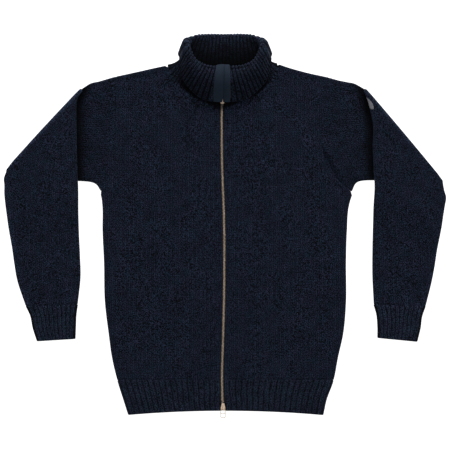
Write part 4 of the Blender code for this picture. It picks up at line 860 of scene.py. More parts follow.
def make_back():
    """The whole back in one piece; it lies on the table, so its folds are small."""
    low_rows, high_rows, shoulder_columns, neck_columns = 60, 44, 22, 30
    sides = {right: body_side(right, low_rows, high_rows) for right in (True, False)}
    shoulders = {right: shoulder_line(right, shoulder_columns + 1) for right in (True, False)}
    necks = {right: neck_line(False, right, neck_columns + 1)[::-1] for right in (True, False)}
    neck = np.concatenate([necks[True], necks[False][::-1][1:]])
    neck_out = left_normals(neck)
    right_out = upward(left_normals(shoulders[True])[:-1])
    left_out = upward(left_normals(shoulders[False][::-1])[1:])
    top = np.concatenate([shoulders[True][:-1], neck - neck_out * NECK_GAP, shoulders[False][::-1][1:]])
    top_out = np.concatenate([right_out, neck_out, left_out])
    top_fold = np.concatenate([np.ones(shoulder_columns), np.zeros(len(neck)), np.ones(shoulder_columns)])
    for end, (side, _, _) in zip((0, -1), sides.values()):
        top_out[end] = unit(side[-1] - side[-2])
    inset_right, inset_left = (side - out * BODY_TURN for side, out, _ in sides.values())
    inset_top = top - top_out * BODY_TURN
    first, last = shoulder_columns, shoulder_columns + len(neck)
    inset_top[first:last] += corner_slide(neck, right_out[-1])
    inset_top[first:last] += corner_slide(neck[::-1], left_out[0])[::-1]
    inset_top[0], inset_top[-1] = inset_right[-1], inset_left[-1]
    across = np.linspace(0, 1, len(top))
    bottom = inset_right[0] * (1 - across[:, None]) + inset_left[0] * across[:, None]
    rows, row_thin = edge_lines(low_rows + high_rows, 6.0, KNIT_WALL / 2, True, False)
    plan = pick(coons(bottom, inset_top, inset_right, inset_left), rows, np.arange(len(top), dtype=float))
    waves = slow_waves(plan[..., 0], plan[..., 1], WAVE_SEED["back"])
    loft = -BACK_SINK * ramp(rows[:, None] / rows[-1], 0, 0.05) * (0.5 + 0.5 * waves)
    borders = {border: (pick_line(out, rows), pick_line(fold, rows))
               for border, (_, out, fold) in zip(("left", "right"), sides.values())}
    borders["top"] = (top_out, top_fold)
    faces = panel_faces(plan, borders, -1, BODY_TURN, KNIT_WALL, loft, 0 * loft,
                        row_thin[:, None] * np.ones(len(top)))
    return knit_shell("back_knit", *faces)


back = make_back()

# %% [markdown]
# ## Linked neck seam
#
# The collar is knitted on its own and linked to the body loop by loop. The loops stand in a small
# ridge that swells at every rib of the collar. Single loops would be too fine to see, so the ridge is
# a narrow strip along the neck seam, with its width and height worked out from the ribs.

# %% Ridge along the neck seam
LINK_ENDS, LINK_REACH, LINK_SWELL = (0.4, 0.985), (-5.0, 4.5), 1.8
LINK_RISE = (0.4, 1.7)       # height of the ridge between ribs, and more on a rib
NECK_MIDDLE = (-4.0, 345.0)


def make_neck_link(right):
    """Strip round the neck: reach = from inside the seam to 4.5 + 1.8 * rib, height = sin^0.6 across
    it * (0.4 + 1.7 * rib). It is painted lighter all over, as light, and its outer edge is painted dark
    between the ribs, as shadow."""
    side = -1 if right else 1
    share = side * np.linspace(*LINK_ENDS, 240)
    line, ribs = neck_points(side, share), collar_ribs(share)
    outward = left_normals(line)
    outward = outward * np.sign(np.sum(outward * (line - NECK_MIDDLE), axis=1, keepdims=True))
    across = np.linspace(0, 1, 13)
    wave = (rib_wave(ribs)**1.6)[:, None]
    # by the zip the strip keeps clear of the seam's inner side
    inner = LINK_REACH[0] + 4.5 * ramp(np.abs(share), 0.82, 0.12)[:, None]
    reach = inner + (LINK_REACH[1] + LINK_SWELL * wave - inner) * across[None]
    flat = line[:, None] + outward[:, None] * reach[..., None]
    top = 2 * BODY_TURN + FRONT_LOFT - 0.5
    rise = np.sin(np.pi * np.clip(across, 0.02, 1))[None]**0.6 * (LINK_RISE[0] + LINK_RISE[1] * wave)
    shown, hidden = (np.concatenate([flat, height[..., None]], axis=2)
                     for height in (top + rise, top - 1.0 + 0 * rise))
    stitches = np.stack(np.broadcast_arrays(ribs[:, None] * 2, across[None] * 2.5), axis=2)
    # painted light on the whole ridge, and painted shadow between the ribs at its outer edge
    painted_shading = 1.5 - 1.3 * ramp(across[None], 0.4, 0.35) * (1 - wave)
    return shell(side_name("neck_link_%", right), shown, hidden, stitches, ribbing, painted_shading=painted_shading)


links = {right: make_neck_link(right) for right in (True, False)}
print("ridge:", round(walked(neck_points(1, np.linspace(*LINK_ENDS, 240)))[-1]), "mm on each side")

# %% [markdown]
# ## Ribbed hem
#
# The band round the hem is knitted as a rib, eighteen ribs to each front, and each rib is two columns
# of stitches. It could be a bump map, but the ribs are 11 mm wide and catch the light on one side, so
# they are in the mesh: ten columns of points to each rib. The last rows narrow to a soft rolled edge.

# %% Hem bands
PER_RIB, BACK_PER_RIB = 10, 8
TURN_RIBS = 0.08       # ribs in each step round the side edge
HEM_WAVES = 0.5        # height of the slow waves
HEM_FADE = 0.35        # the ribs are lower by this share at the free edge
BACK_GROOVE = 1.2      # how deep the grooves of the back band are


def band_edges(count):
    """Rows of a hem band: their heights, how thick the wall is, and both side edges with normals."""
    step = (HEM_SEAM_Y - SEAM_GAP - HEM_EDGE_Y) / (count - 1)
    rows, thin = edge_lines(count, step, RIB_WALL / 2, True, True)
    heights = HEM_EDGE_Y + rows * step
    sides = [side_edge(right, heights - hem_drop(HEM_HALF, heights)) for right in (True, False)]
    return rows, heights, thin, sides


def band_plan(start, end, across, heights):
    """Grid between two edges, with every point let down by the bow of the hem."""
    x = start[:, None, 0] * (1 - across) + end[:, None, 0] * across
    return np.stack([x, heights[:, None] - hem_drop(x, heights[:, None])], axis=2)


def band_shell(name, faces, ribs, both):
    """Finished band. Ribs are counted on round the side edge, or round both."""
    turned = np.arange(1, len(EDGE_ANGLES) + 1) * TURN_RIBS
    ribs = np.concatenate([ribs[0] - turned[::-1], ribs, ribs[-1] + turned if both else ribs[:0]])
    shown, hidden, thin = faces
    stitches = np.stack(np.broadcast_arrays(ribs[None] * 2, shown[..., 1] / COURSE), axis=2)
    return shell(name, shown, hidden, stitches, welt, thin=thin)


def hem_drop(x, y):
    """How much lower the bowed band hangs: bow * (x / half width)^2, growing towards its free edge."""
    return HEM_BOW * (x / HEM_HALF)**2 * (HEM_SEAM_Y - y) / (HEM_SEAM_Y - HEM_EDGE_Y)


def make_hem_front(right):
    """Ribbed band under one front, between its side seam and the zip."""
    sign = -1 if right else 1
    rows, heights, row_thin, sides = band_edges(34)
    side, side_out = sides[0 if right else 1]
    opens = ramp(SLOT_OPENS[0] - heights, 0, np.ptp(SLOT_OPENS))
    edge = np.stack([zip_x(heights) + sign * between((CHAIN_SLOT, SLIDER_SLOT), opens), heights], axis=1)
    count = HEM_RIBS * PER_RIB
    pitch = HEM_HALF / HEM_RIBS / PER_RIB
    columns, column_thin = edge_lines(count + 1, pitch, RIB_WALL / 2, False, True)
    across = columns / count
    plan = band_plan(side - side_out * RIB_TURN, edge, across, heights)
    ribs = across * HEM_RIBS
    fade = ramp(rows / 3)[:, None] * HEM_FADE + (1 - HEM_FADE)
    relief = ((RIB_RISE + RIB_GROOVE) * rib_wave(ribs)[None] - RIB_GROOVE) * fade
    waves = slow_waves(plan[..., 0], plan[..., 1], WAVE_SEED["hem"])
    loft = FRONT_LOFT + HEM_WAVES * waves * ramp(np.minimum(across, 1 - across), 0, 0.05)[None]
    faces = panel_faces(plan, {"left": (side_out, np.ones(len(rows)))}, 1, RIB_TURN, RIB_WALL, loft,
                        relief, row_thin[:, None] * column_thin[None])
    return band_shell(side_name("hem_rib_front_%_band", right), faces, ribs, False)


def make_hem_back():
    """Ribbed band under the back; its ribs are cut into the face that lies on the table."""
    rows, heights, row_thin, ((right, right_out), (left, left_out)) = band_edges(24)
    across = np.linspace(0, 1, 2 * HEM_RIBS * BACK_PER_RIB + 1)
    plan = band_plan(right - right_out * RIB_TURN, left - left_out * RIB_TURN, across, heights)
    ribs = across * 2 * HEM_RIBS
    relief = BACK_GROOVE * (rib_wave(ribs) - 1.0) + np.zeros((len(rows), 1))
    borders = {"left": (right_out, np.ones(len(rows))), "right": (left_out, np.ones(len(rows)))}
    faces = panel_faces(plan, borders, -1, RIB_TURN, RIB_WALL, 0 * relief, relief,
                        row_thin[:, None] * np.ones(len(across)))
    return band_shell("hem_rib_back_band", faces, ribs, True)


hems = {right: make_hem_front(right) for right in (True, False)}
hem_back = make_hem_back()
print("rib pitch on the hem:", round(HEM_HALF / HEM_RIBS, 1), "mm")


# %% [markdown]
# ## Sleeves
#
# A sleeve is a flattened tube that is folded over its own front. Bending a finished tube with a
# modifier would crush it at the fold. Here each ring is placed by a station along the sleeve, from the
# two long edges of the table and the angle it has been turned by, so the cloth goes round the fold
# on a half circle. The stitches run along the shoulder-line edge, and they are cut off at the
# underarm seam, as they are on a sleeve that is knitted to shape.

# %% Flattened tube, folded over
SLEEVE_WAVES = (0.8, 1.3)      # height of the slow waves before and after the fold


def tube_section(back_steps, front_steps, turn_steps):
    """Shares across and angles round a tube, from the underarm seam over the front to the back."""
    out = np.linspace(0, 90, turn_steps + 1)[:-1]
    front = np.linspace(1, 0, front_steps + 1)
    turn = np.linspace(90, 270, 2 * turn_steps + 1)[1:-1]
    back = np.linspace(0, 1, back_steps + 1)
    close = np.linspace(270, 360, turn_steps + 1)[1:-1]
    shares = np.concatenate([np.ones(len(out)), front, np.zeros(len(turn)), back, np.ones(len(close))])
    angles = np.concatenate([out, np.full(len(front), 90.0), turn, np.full(len(back), 270.0), close])
    return shares, np.radians(angles)


def sleeve_rows(right, stations):
    """Edges, fold angle and middle height at any stations: one smooth run up to the fold and one
    from it on. Round the fold both ends ease to the fold line, as 1 - ramp(2t) and ramp(2t - 1) of
    the turn t, and the height follows 1 - cos of the fold angle."""
    rows, fold = SLEEVES[right], FOLD_STATION
    before = smooth(np.arange(fold + 1), rows[:fold + 1], stations)
    after = smooth(np.arange(fold + 1, len(rows)), rows[fold + 1:], stations)
    t = np.clip(stations - fold, 0, 1)
    turned, line = t * np.pi, FOLD_LINES[right]
    edges = line + (before - line) * (1 - ramp(2 * t[:, None])) + (after - line) * ramp(2 * t[:, None] - 1)
    low, high = SLEEVE_HEIGHTS[fold:fold + 2]
    lift = smooth(np.arange(len(rows)), SLEEVE_HEIGHTS[:, None], stations, (fold, fold + 1))[:, 0]
    inside = (stations > fold) & (stations < fold + 1)
    lift[inside] = low + (high - low) / 2 * (1 - np.cos(turned[inside]))
    return edges[:, 0:2], edges[:, 2:4], turned, lift, (high - low) / 2


def armhole_bow(right, stations, shares):
    """How far the armhole's curve stands off its chord, fading out along the sleeve."""
    hole = np.array(ARMHOLES[right][::-1], float)
    inside = armhole_shares(right, shares)
    chord = hole[0] + (hole[-1] - hole[0]) * inside[:, None]
    return (1 - ramp(stations / ARMHOLE_FADE))[:, None, None] * (along(hole, inside) - chord)[None]


def tube_points(top, under, turned, lift, fold_radius, section, radius, lofts, bow, lean):
    """Rings between two plan edges: flat layers at +-radius, half circles round both edges, and the
    whole ring turned about its own line by the fold angle."""
    shares, angles = section
    run = unit(under - top)
    start, end = top + run * BODY_TURN, under - run * BODY_TURN
    outward = np.stack([run[:, 1], -run[:, 0]], axis=1)
    outward *= np.sign(np.sum(outward * top, axis=1, keepdims=True))
    spine = start[:, None] + (end - start)[:, None] * shares[None, :, None] + bow
    length = np.linalg.norm(end - start, axis=1, keepdims=True)
    # the fold's two ends are drawn in, so that the outline goes round them in a curve
    at_top, at_under = bump(shares * length, 0, 9.0), bump((1 - shares) * length, 0, 9.0)
    swing = np.sin(turned)[:, None] * fold_radius * (1 - 0.1 * at_top - 0.35 * at_under)
    spine = spine + outward[:, None] * swing[..., None]
    bulge = np.sin(np.pi * shares)[None]
    sine, cosine = np.sin(angles)[None], np.cos(angles)[None]
    loft = np.where(sine > 0, lofts[1], lofts[0]) * bulge
    reach = sine * (radius + np.abs(sine)**4 * loft)
    at_start, at_end = unit(run + lean[0] / length), unit(run + lean[1] / length)
    heading = np.where((shares < 0.5)[None, :, None], at_start[:, None], at_end[:, None])
    flat = spine + heading * (cosine * radius)[..., None]
    flat = flat + (-np.sin(turned)[:, None] * outward)[:, None] * reach[..., None]
    height = lift[:, None] + np.cos(turned)[:, None] * reach
    return np.concatenate([flat, height[..., None]], axis=2)


def sleeve_points(right, stations, section, radius):
    """Outer (radius BODY_TURN) or inner face of the sleeve, with its folds and slow waves."""
    shares, angles = section
    top, under, turned, lift, fold_radius = sleeve_rows(right, stations)
    bow = armhole_bow(right, stations, shares)
    tiny = 0.03
    ends = armhole_bow(right, stations, np.array([0.0, tiny, 1 - tiny, 1.0]))
    lean = ((ends[:, 1] - ends[:, 0]) / tiny, (ends[:, 3] - ends[:, 2]) / tiny)
    after = ramp(stations - FOLD_STATION)
    lofts = ((SLEEVE_LOFT[1] * after)[:, None], (SLEEVE_LOFT[0] * (1 - after))[:, None])
    points = tube_points(top, under, turned, lift, fold_radius, section, radius, lofts, bow, lean)
    inner = ramp(shares, 0, 0.04) * ramp(1 - shares, 0, 0.04)
    front = (np.sin(angles) > 0.9)[None] * inner * (1 - ramp(stations - FOLD_STATION + 1))[:, None]
    back = (np.sin(angles) < -0.9)[None] * inner * ramp(stations - FOLD_STATION - 1)[:, None]
    x, y = points[..., 0], points[..., 1]
    front_waves = SLEEVE_WAVES[0] * slow_waves(x, y, WAVE_SEED["front"])
    points[..., 2] += front * (fold_lift(x, y) + front_waves)
    points[..., 2] += back * SLEEVE_WAVES[1] * slow_waves(x, y, WAVE_SEED["sleeve"])
    return points


def grid_lengths(points):
    """Lengths along every line of a grid, across it and up it."""
    across = np.cumsum(np.linalg.norm(np.diff(points, axis=1), axis=2), axis=1)
    up = np.cumsum(np.linalg.norm(np.diff(points, axis=0), axis=2), axis=0)
    return np.pad(across, ((0, 0), (1, 0))), np.pad(up, ((1, 0), (0, 0)))


def round_stitches(points, angles):
    """Stitch counts round a tube: across from the shoulder-line edge, and along from the first ring."""
    closed = np.concatenate([points, points[:, :1]], axis=1)
    around, ahead = grid_lengths(closed)
    middle = int(np.argmin(np.abs(angles - np.pi)))
    return np.stack([(around - around[:, middle:middle + 1]) / WALE, -ahead / COURSE], axis=2)


# %% Sleeve pieces
SLEEVE_COLUMNS, TURN_STEPS = 54, 7       # grid across one layer, and round each quarter turn
# painted shade on the layer below, beside the folded edge, and less of it all over; painted light on the
# fold itself
UNDER_SHADE, UNDER_REACH, UNDER_ALL_SHADE = 0.9, 15, 0.14
FOLD_LIGHT = {True: 0.5, False: 0.25}
# painted light on the cuffs, as a factor on their colour; how deep the grooves are on a cuff's back
CUFF_LIGHT, CUFF_BACK_GROOVE = 1.15, 0.9


def make_sleeve(right):
    """One sleeve from armhole seam to cuff seam, with a thinner wall at both seams."""
    rows, fold = SLEEVES[right], FOLD_STATION
    last = len(rows) - 1.0
    seam = np.array([0.0, 0.01, 0.03, 0.06])
    stations = np.concatenate([seam, np.linspace(0.12, fold - 0.06, 44), fold + np.linspace(0, 1, 25)[:-1],
                               np.linspace(fold + 1, last - 0.1, 86), last - seam[::-1] / 1.3])
    share = np.clip(np.minimum(stations, (last - stations) * 1.3) / 0.07, 0.03, 1)
    section = tube_section(SLEEVE_COLUMNS, SLEEVE_COLUMNS, TURN_STEPS)
    shares, angles = section
    outer, inner = (sleeve_points(right, stations, section, radius) for radius in (BODY_TURN, INNER_TURN))
    # the crease of the folded-over layer keeps light off the cloth beside it
    crease = np.interp(outer[..., 1], rows[:fold:-1, 1], np.abs(rows[:fold:-1, 0]))
    at = stations[:, None]
    under = (np.sin(angles) > 0.5)[None] & (at < fold + 0.4)
    beside = np.minimum(np.abs(outer[..., 0]) - crease + 1, 0)
    painted_shading = 1 - UNDER_SHADE * under * bump(beside, 0, UNDER_REACH)
    painted_shading = painted_shading * (1 - UNDER_ALL_SHADE * under * ramp(at, 0.1, 0.6))
    # painted light along the fold and along its outer edge, where the rolled cloth catches the light
    along_fold = bump(at, fold + 0.9, 0.4) * (at > fold + 0.3)
    along_edge = bump((1 - shares)[None], 0, 0.06) * ramp(at, fold + 0.5)
    painted_shading = painted_shading * (1 + FOLD_LIGHT[right] * np.maximum(along_fold, 0.7 * along_edge))
    return shell(side_name("sleeve_%_knit", right), outer, inner, round_stitches(outer, angles), knit,
                 closed=True, thin=np.sqrt(1 - (1 - share)**2)[:, None] * np.ones(len(shares)),
                 painted_shading=painted_shading)


def make_cuff(right):
    """Ribbed cuff, sewn to the sleeve and turned with it."""
    rows = np.array(CUFFS[right], float)
    rows[0] += SEAM_GAP * np.tile(unit(rows[1, :2] - rows[0, :2]), 2)
    cells = 36
    lines, thin = edge_lines(cells + 1, 2.1, RIB_WALL / 2, True, True)
    edges = smooth(np.arange(len(rows)), rows, lines / cells * (len(rows) - 1))
    shares, angles = section = tube_section(CUFF_RIBS * PER_RIB, CUFF_RIBS * PER_RIB, TURN_STEPS)
    turned, level = np.full(len(lines), np.pi), np.full(len(lines), RIB_TURN)
    flat = (np.zeros((len(lines), 1)),) * 2
    outer, inner = (tube_points(edges[:, :2], edges[:, 2:], turned, level, 0.0, section, radius,
                                flat, 0.0, (0.0, 0.0)) for radius in (RIB_TURN, INNER_TURN))
    ribs = shares * CUFF_RIBS
    wave = (RIB_RISE + RIB_GROOVE) * rib_wave(ribs) - RIB_GROOVE
    outer[..., 2] += np.where(np.sin(angles) < -0.9, wave, 0)[None] * (0.6 + 0.4 * ramp(lines / 3))[:, None]
    outer[..., 2] += np.where(np.sin(angles) > 0.9, CUFF_BACK_GROOVE * (1 - rib_wave(ribs)), 0)[None]
    outer[..., 2] = np.maximum(outer[..., 2], 0.0)
    stitches = round_stitches(outer, angles)
    stitches[..., 0] = np.append(np.where(np.sin(angles) < 0, ribs, -ribs), -CUFF_RIBS) * 2
    return shell(side_name("cuff_%_rib", right), outer, inner, stitches, welt, closed=True,
                 thin=thin[:, None] * np.ones(len(shares)), painted_shading=np.full(outer.shape[:2], CUFF_LIGHT))


sleeves = {right: make_sleeve(right) for right in (True, False)}
cuffs = {right: make_cuff(right) for right in (True, False)}


# %% [markdown]
# ## Zip
#
# The zip is a pair of woven tapes with brass teeth that interlock. It runs from the hem up the body,
# on up the stand of the collar, round the roll and down again to the turned-down edge. The teeth
# could be an array along a curve. Here the zip's middle line is a list of frames, each with a middle
# point and a direction to the inside, and one small tooth is set at every pitch of 2.9 mm, in one mesh.

# %% The zip's middle line
BODY_STEPS = 1000.0


def collar_zip_point(steps, lift):
    """Point midway between the collar's two front edges, `lift` from the middle of its wall."""
    lifts, one = np.full(len(steps), lift), np.ones(len(steps))
    return (collar_face(-one, steps, lifts) + collar_face(one, steps, lifts)) / 2


def zip_frame(steps):
    """Middle of the tape and the way to the inside. A step from 0 on lies along the collar; on the
    body a step is the height less 1000, so that it is below 0."""
    steps = np.asarray(steps, float)
    heights, up = steps + BODY_STEPS, np.maximum(steps, 0.0)
    keys, levels = zip(*CHAIN_HEIGHTS)
    on_body = np.stack([zip_x(heights), heights, np.interp(heights, keys, levels)], axis=1)
    on_collar, above = (collar_zip_point(up, lift) for lift in (TAPE_LIFT, TAPE_LIFT + 1.0))
    body = (steps < 0)[:, None]
    return np.where(body, on_body, on_collar), np.where(body, (0.0, 0.0, -1.0), unit(above - on_collar))


zip_steps = np.concatenate([np.linspace(CHAIN_START, 230, 122) - BODY_STEPS, np.linspace(0.08, 1, 16)[:-1],
                            np.linspace(1, 2, 28)[:-1], np.linspace(2, TOP_SLIDER_STEPS[0] - 0.01, 16)])
zip_middle, zip_inward = zip_frame(zip_steps)
zip_walk = walked(zip_middle)
print("zip from slider to slider:", round(zip_walk[-1]), "mm")

# %% [markdown]
# ### Tapes
#
# A zip tape is polyester woven in a close herringbone, 0.8 mm thick and dyed to match. Almost all of
# it is hidden between the knit layers, so it is a plain strip with a fine diagonal weave.

# %% Woven tape
def tape_material():
    """Woven polyester: two dark navies and a height by fine crossing diagonals."""
    material, tree, shader = begin("woven_polyester_tape", Roughness=0.8, Sheen_Weight=0.1)
    place = add(tree, "TexCoord").outputs["Object"]
    weave = add(tree, "TexWave", {"Vector": place, "Scale": 260.0, "Distortion": 0.6, "Detail": 1.0},
                bands_direction="DIAGONAL").outputs["Fac"]
    dress(tree, shader, weave, linear("#0c0f16"), linear("#222a38"), weave, 0.15)
    return material


tape_finish = tape_material()


def in_millimetres(grid, column):
    """UV of a strip in millimetres: its mean width so far, and the length along one of its columns."""
    across = np.append(0, np.cumsum(np.linalg.norm(np.diff(grid, axis=1), axis=2).mean(axis=0)))
    return np.stack(np.broadcast_arrays(across[None], walked(grid[:, column])[:, None]), axis=2)


def strip(name, lines, ways, thick, material):
    """Thin strip through lines of points: each face stands half the thickness off along its way."""
    middle, ways = np.stack(lines, axis=1), np.stack(ways, axis=1)
    half = ways * thick / 2
    return shell(name, middle + half, middle - half, in_millimetres(middle, 0), material)


def make_tape(right):
    """One tape: from beside the teeth out to 12 mm, flat on the body and bent along the collar."""
    side = -1 if right else 1
    aside = np.array([side, 0.0, 0.0])
    share, up = np.full(len(zip_steps), side * TAPE_SHARE), np.maximum(zip_steps, 0)
    bent, above = (collar_face(share, up, lift) for lift in (TAPE_LIFT, TAPE_LIFT + 1))
    on_body = (zip_steps < 0)[:, None]
    edge = np.where(on_body, zip_middle + aside * TAPE_REACH, bent)
    way = np.where(on_body, zip_inward, unit(above - bent))
    near = zip_middle + aside * 0.2
    mixes = (0, 0.2, 0.45, 0.7, 0.97, 1.0)
    return strip(side_name("zip_tape_%", right), [near * (1 - m) + edge * m for m in mixes],
                 [unit(zip_inward * (1 - m) + way * m) for m in mixes], TAPE_THICK, tape_finish)


tapes = {right: make_tape(right) for right in (True, False)}

# %% [markdown]
# ### Teeth
#
# The teeth are stamped brass, worn bright on their crowns and dull in between. A tooth is a small
# block that narrows towards its head. Nine points round, on four levels, are enough for its rounded
# crown, because there are more than five hundred of them.

# %% Brass, and the row of teeth
def brass_material(name, worn, dull, roughness, in_shadow=False):
    """Aged brass: two tones by a 2 mm noise and fine scratches in the height. With `in_shadow` it is
    darker by the piece's own attribute."""
    material, tree, shader = begin(name, Metallic=1.0, Roughness=roughness)
    place = add(tree, "TexCoord").outputs["Object"]
    patina, scratches = (
        add(tree, "TexNoise", {"Vector": place, "Scale": scale, "Detail": detail}).outputs["Fac"]
        for scale, detail in ((600.0, 4.0), (2600.0, 2.0)))
    share = add(tree, "MapRange", {"Value": patina, "From Min": 0.38, "From Max": 0.6}).outputs[0]
    shade = add(tree, "Attribute", attribute_name="painted_shading").outputs["Fac"] if in_shadow else None
    dress(tree, shader, share, linear(dull), linear(worn), scratches, 0.05, shade=shade)
    return material


brass = brass_material("aged_brass", "#f6e0c8", "#b39c80", 0.42)
# the teeth have their own copy of the brass, which takes a painted shadow
teeth_brass = brass_material("aged_brass_teeth", "#fde8d0", "#bfa88c", 0.42, in_shadow=True)
TOOTH_PITCH = 2.9
# a tooth from above, the end in the tape first; its levels: height, and size of the outline there
TOOTH_OUTLINE = np.array([(3.0, -0.62), (3.0, 0.62), (1.2, 0.66), (0.2, 0.55), (-0.75, 0.5), (-0.95, 0.0),
                          (-0.75, -0.5), (0.2, -0.55), (1.2, -0.66)])
TOOTH_LEVELS = ((-1.2, 0.8), (-0.9, 1.0), (0.85, 1.0), (1.2, 0.74))
TOOTH_MIDDLE = np.array([1.0, 0.0])
# painted shadow of the turned-down collar on the teeth near the top of the zip
TEETH_SHADOW, TEETH_SHADOW_FROM = 0.8, 236.0     # how dark under the turned-down collar, and from what height


def lump(name, points, faces, material):
    """Closed piece from points in millimetres and faces of any size, smooth up to 40 degrees."""
    mesh = bpy.data.meshes.new(name)
    mesh.from_pydata((np.asarray(points) * MM).tolist(), [], faces)
    work = bmesh.new()
    work.from_mesh(mesh)
    bmesh.ops.recalc_face_normals(work, faces=work.faces)
    work.to_mesh(mesh)
    work.free()
    mesh.shade_smooth()
    mesh.set_sharp_from_angle(angle=np.radians(40))
    mesh.materials.append(material)
    return put(name, mesh)


def make_teeth(right):
    """Row of teeth: point = frame middle + aside * x + ahead * y - inward * z of one template."""
    side = -1 if right else 1
    template = np.concatenate([np.column_stack([TOOTH_MIDDLE + (TOOTH_OUTLINE - TOOTH_MIDDLE) * size,
                                                np.full(len(TOOTH_OUTLINE), level)])
                               for level, size in TOOTH_LEVELS])
    walks = np.arange(TOOTH_PITCH * (0.6 if right else 1.1), zip_walk[-1] - 1.0, TOOTH_PITCH)
    middle, inward = (np.stack([np.interp(walks, zip_walk, line[:, i]) for i in range(3)], axis=1)
                      for line in (zip_middle, zip_inward))
    inward, ahead = unit(inward), unit(np.gradient(middle, axis=0))
    aside = unit(np.cross(ahead, inward))
    aside = aside * np.sign(aside[:, :1]) * side
    points = (middle[:, None] + aside[:, None] * template[None, :, :1]
              + ahead[:, None] * template[None, :, 1:2] - inward[:, None] * template[None, :, 2:])
    # each end of a tooth is three quads and the triangle of its head
    around = len(TOOTH_OUTLINE)
    top = around * (len(TOOTH_LEVELS) - 1)
    caps, tips = np.array([(0, 1, 2, 8), (2, 3, 7, 8), (3, 4, 6, 7)]), np.array([(6, 5, 4), (4, 5, 6)])
    tips[1] += top
    faces = np.concatenate([quads(len(TOOTH_LEVELS), around, True)[0], caps[:, ::-1], caps + top])
    offsets = np.arange(len(walks))[:, None, None] * len(template)
    all_faces = (faces + offsets).reshape(-1, 4).tolist() + (tips + offsets).reshape(-1, 3).tolist()
    made = lump(side_name("zip_teeth_%", right), points.reshape(-1, 3), all_faces, teeth_brass)
    set_painted_shading(made.data, 1 - TEETH_SHADOW * ramp(points[..., 1], TEETH_SHADOW_FROM, 10))
    print(made.name, len(walks), "teeth")
    return made


teeth = {right: make_teeth(right) for right in (True, False)}

# %% [markdown]
# ### Facing
#
# Where the collar is turned over, its inner side shows, and a strip of grosgrain ribbon covers each
# tape. Grosgrain is a silk-like ribbon with cross ribs a millimetre apart, drawn 1.6 mm apart here.
# The two strips part at the bottom round the back of the top slider.

# %% Grosgrain facing
def stripes(tree, direction, pitch):
    """0 to 1 and back as a sine, once in `pitch` millimetres of the UV's Y, or of its X + Y."""
    uv = add(tree, "UVMap", uv_map="stitches").outputs["UV"]
    parts = add(tree, "SeparateXYZ", {0: uv}).outputs
    across = parts["X"] if direction == "diagonal" else 0.0
    values = sums(tree, {"across": across, "up": parts["Y"]}, (
        ("run", "ADD", "across", "up"), ("turn", "MULTIPLY", "run", 2 * np.pi / pitch),
        ("sine", "SINE", "turn")))
    return add(tree, "MapRange", {"Value": values["sine"], "From Min": -1.0, "From Max": 1.0}).outputs[0]


def grosgrain_material():
    """Grosgrain: cross ribs every 1.6 mm from the UV's length in millimetres, with a soft sheen."""
    material, tree, shader = begin("grosgrain_ribbon", Roughness=0.8, Specular_IOR_Level=0.15,
                                   Sheen_Weight=0.2, Sheen_Roughness=0.35, Sheen_Tint=linear("#7f9fc4"))
    share = stripes(tree, "up", 1.6)
    dress(tree, shader, share, linear("#1e2633"), linear("#384759"), share, 0.3)
    return material


grosgrain = grosgrain_material()
# how far the strips part at the end, how far each laps over the middle, and which one lies on top
FACING_SPREAD, FACING_LAP, FACING_OVER = 1.6, {True: 0.9, False: 0.2}, {True: 0.6, False: 0.0}


def make_facing(right):
    """Half of the facing, from the middle of the zip out over the collar's inner side."""
    side = -1 if right else 1
    # it goes straight over the hollow behind the roll, from step 1.75 to 2.07
    steps = np.concatenate([np.linspace(0.55, 1, 8)[:-1], np.linspace(1, 1.75, 20),
                            np.linspace(2.07, FACING_OPENS, 15)[:-1], np.linspace(FACING_OPENS, 2.995, 9)])
    middle, inward = zip_frame(steps)
    opening = FACING_SPREAD * np.clip((steps - FACING_OPENS) / (3.0 - FACING_OPENS), 0, 1)
    near = middle + np.array([side, 0.0, 0.0]) * (opening - FACING_LAP[right])[:, None]
    lines, ways = [near + inward * (FACING_LIFT - TAPE_LIFT + FACING_OVER[right])], [inward]
    out = between(FACING_SHARE[right], np.clip(steps - 2, 0, 1))
    for mix, lift in ((0.3, FACING_LIFT), (0.62, FACING_LIFT - 0.1), (0.85, FACING_LIFT - 0.9),
                      (0.96, TAPE_LIFT + 0.35), (1.0, TAPE_LIFT + 0.2)):
        share = side * (0.985 * (1 - mix) + out * mix)
        point, above = collar_face(share, steps, lift), collar_face(share, steps, lift + 1)
        lines.append(point)
        ways.append(unit(above - point))
    return strip(side_name("facing_%_ribbon", right), lines, ways, FACING_THICK, grosgrain)


facings = {right: make_facing(right) for right in (True, False)}

# %% [markdown]
# ### Sliders and pull
#
# A slider is two die-cast plates joined by a wedge, with an arch on top for the pull. The pull of the
# lower one is a bent wire frame with a bar across it. Bending a curve object would do; a ring of
# points carried along the wire's path gives the same, and its place stays in the mesh.

# %% Wires and plates
def loft(name, rings, material, closed=False):
    """Piece through rings of points in millimetres: capped at both ends, or closed on itself."""
    rings = np.asarray(rings, float)
    count, around = rings.shape[:2]
    faces = (quads(count + closed, around, True)[0] % (count * around)).tolist()
    if not closed:
        faces += [list(range(around)), list(range((count - 1) * around, count * around))[::-1]]
    return lump(name, rings.reshape(-1, 3), faces, material)


def wire(name, path, radius, closed, flatten=1.0, around=10):
    """Round brass wire: at each point of the path a circle of points, across the path's own way."""
    path = np.asarray(path, float)
    if closed:
        ahead = np.roll(path, -1, axis=0) - np.roll(path, 1, axis=0)
    else:
        ahead = np.gradient(path, axis=0)
    ahead = unit(ahead)
    across = unit(np.cross(ahead, (0.0, 0.0, 1.0) if abs(ahead[:, 2]).max() < 0.9 else (1.0, 0.0, 0.0)))
    other = np.cross(across, ahead)
    angle = np.linspace(0, 2 * np.pi, around, endpoint=False)
    rings = (path[:, None] + radius * np.cos(angle)[None, :, None] * across[:, None]
             + radius * flatten * np.sin(angle)[None, :, None] * other[:, None])
    return loft(name, rings, brass, closed)


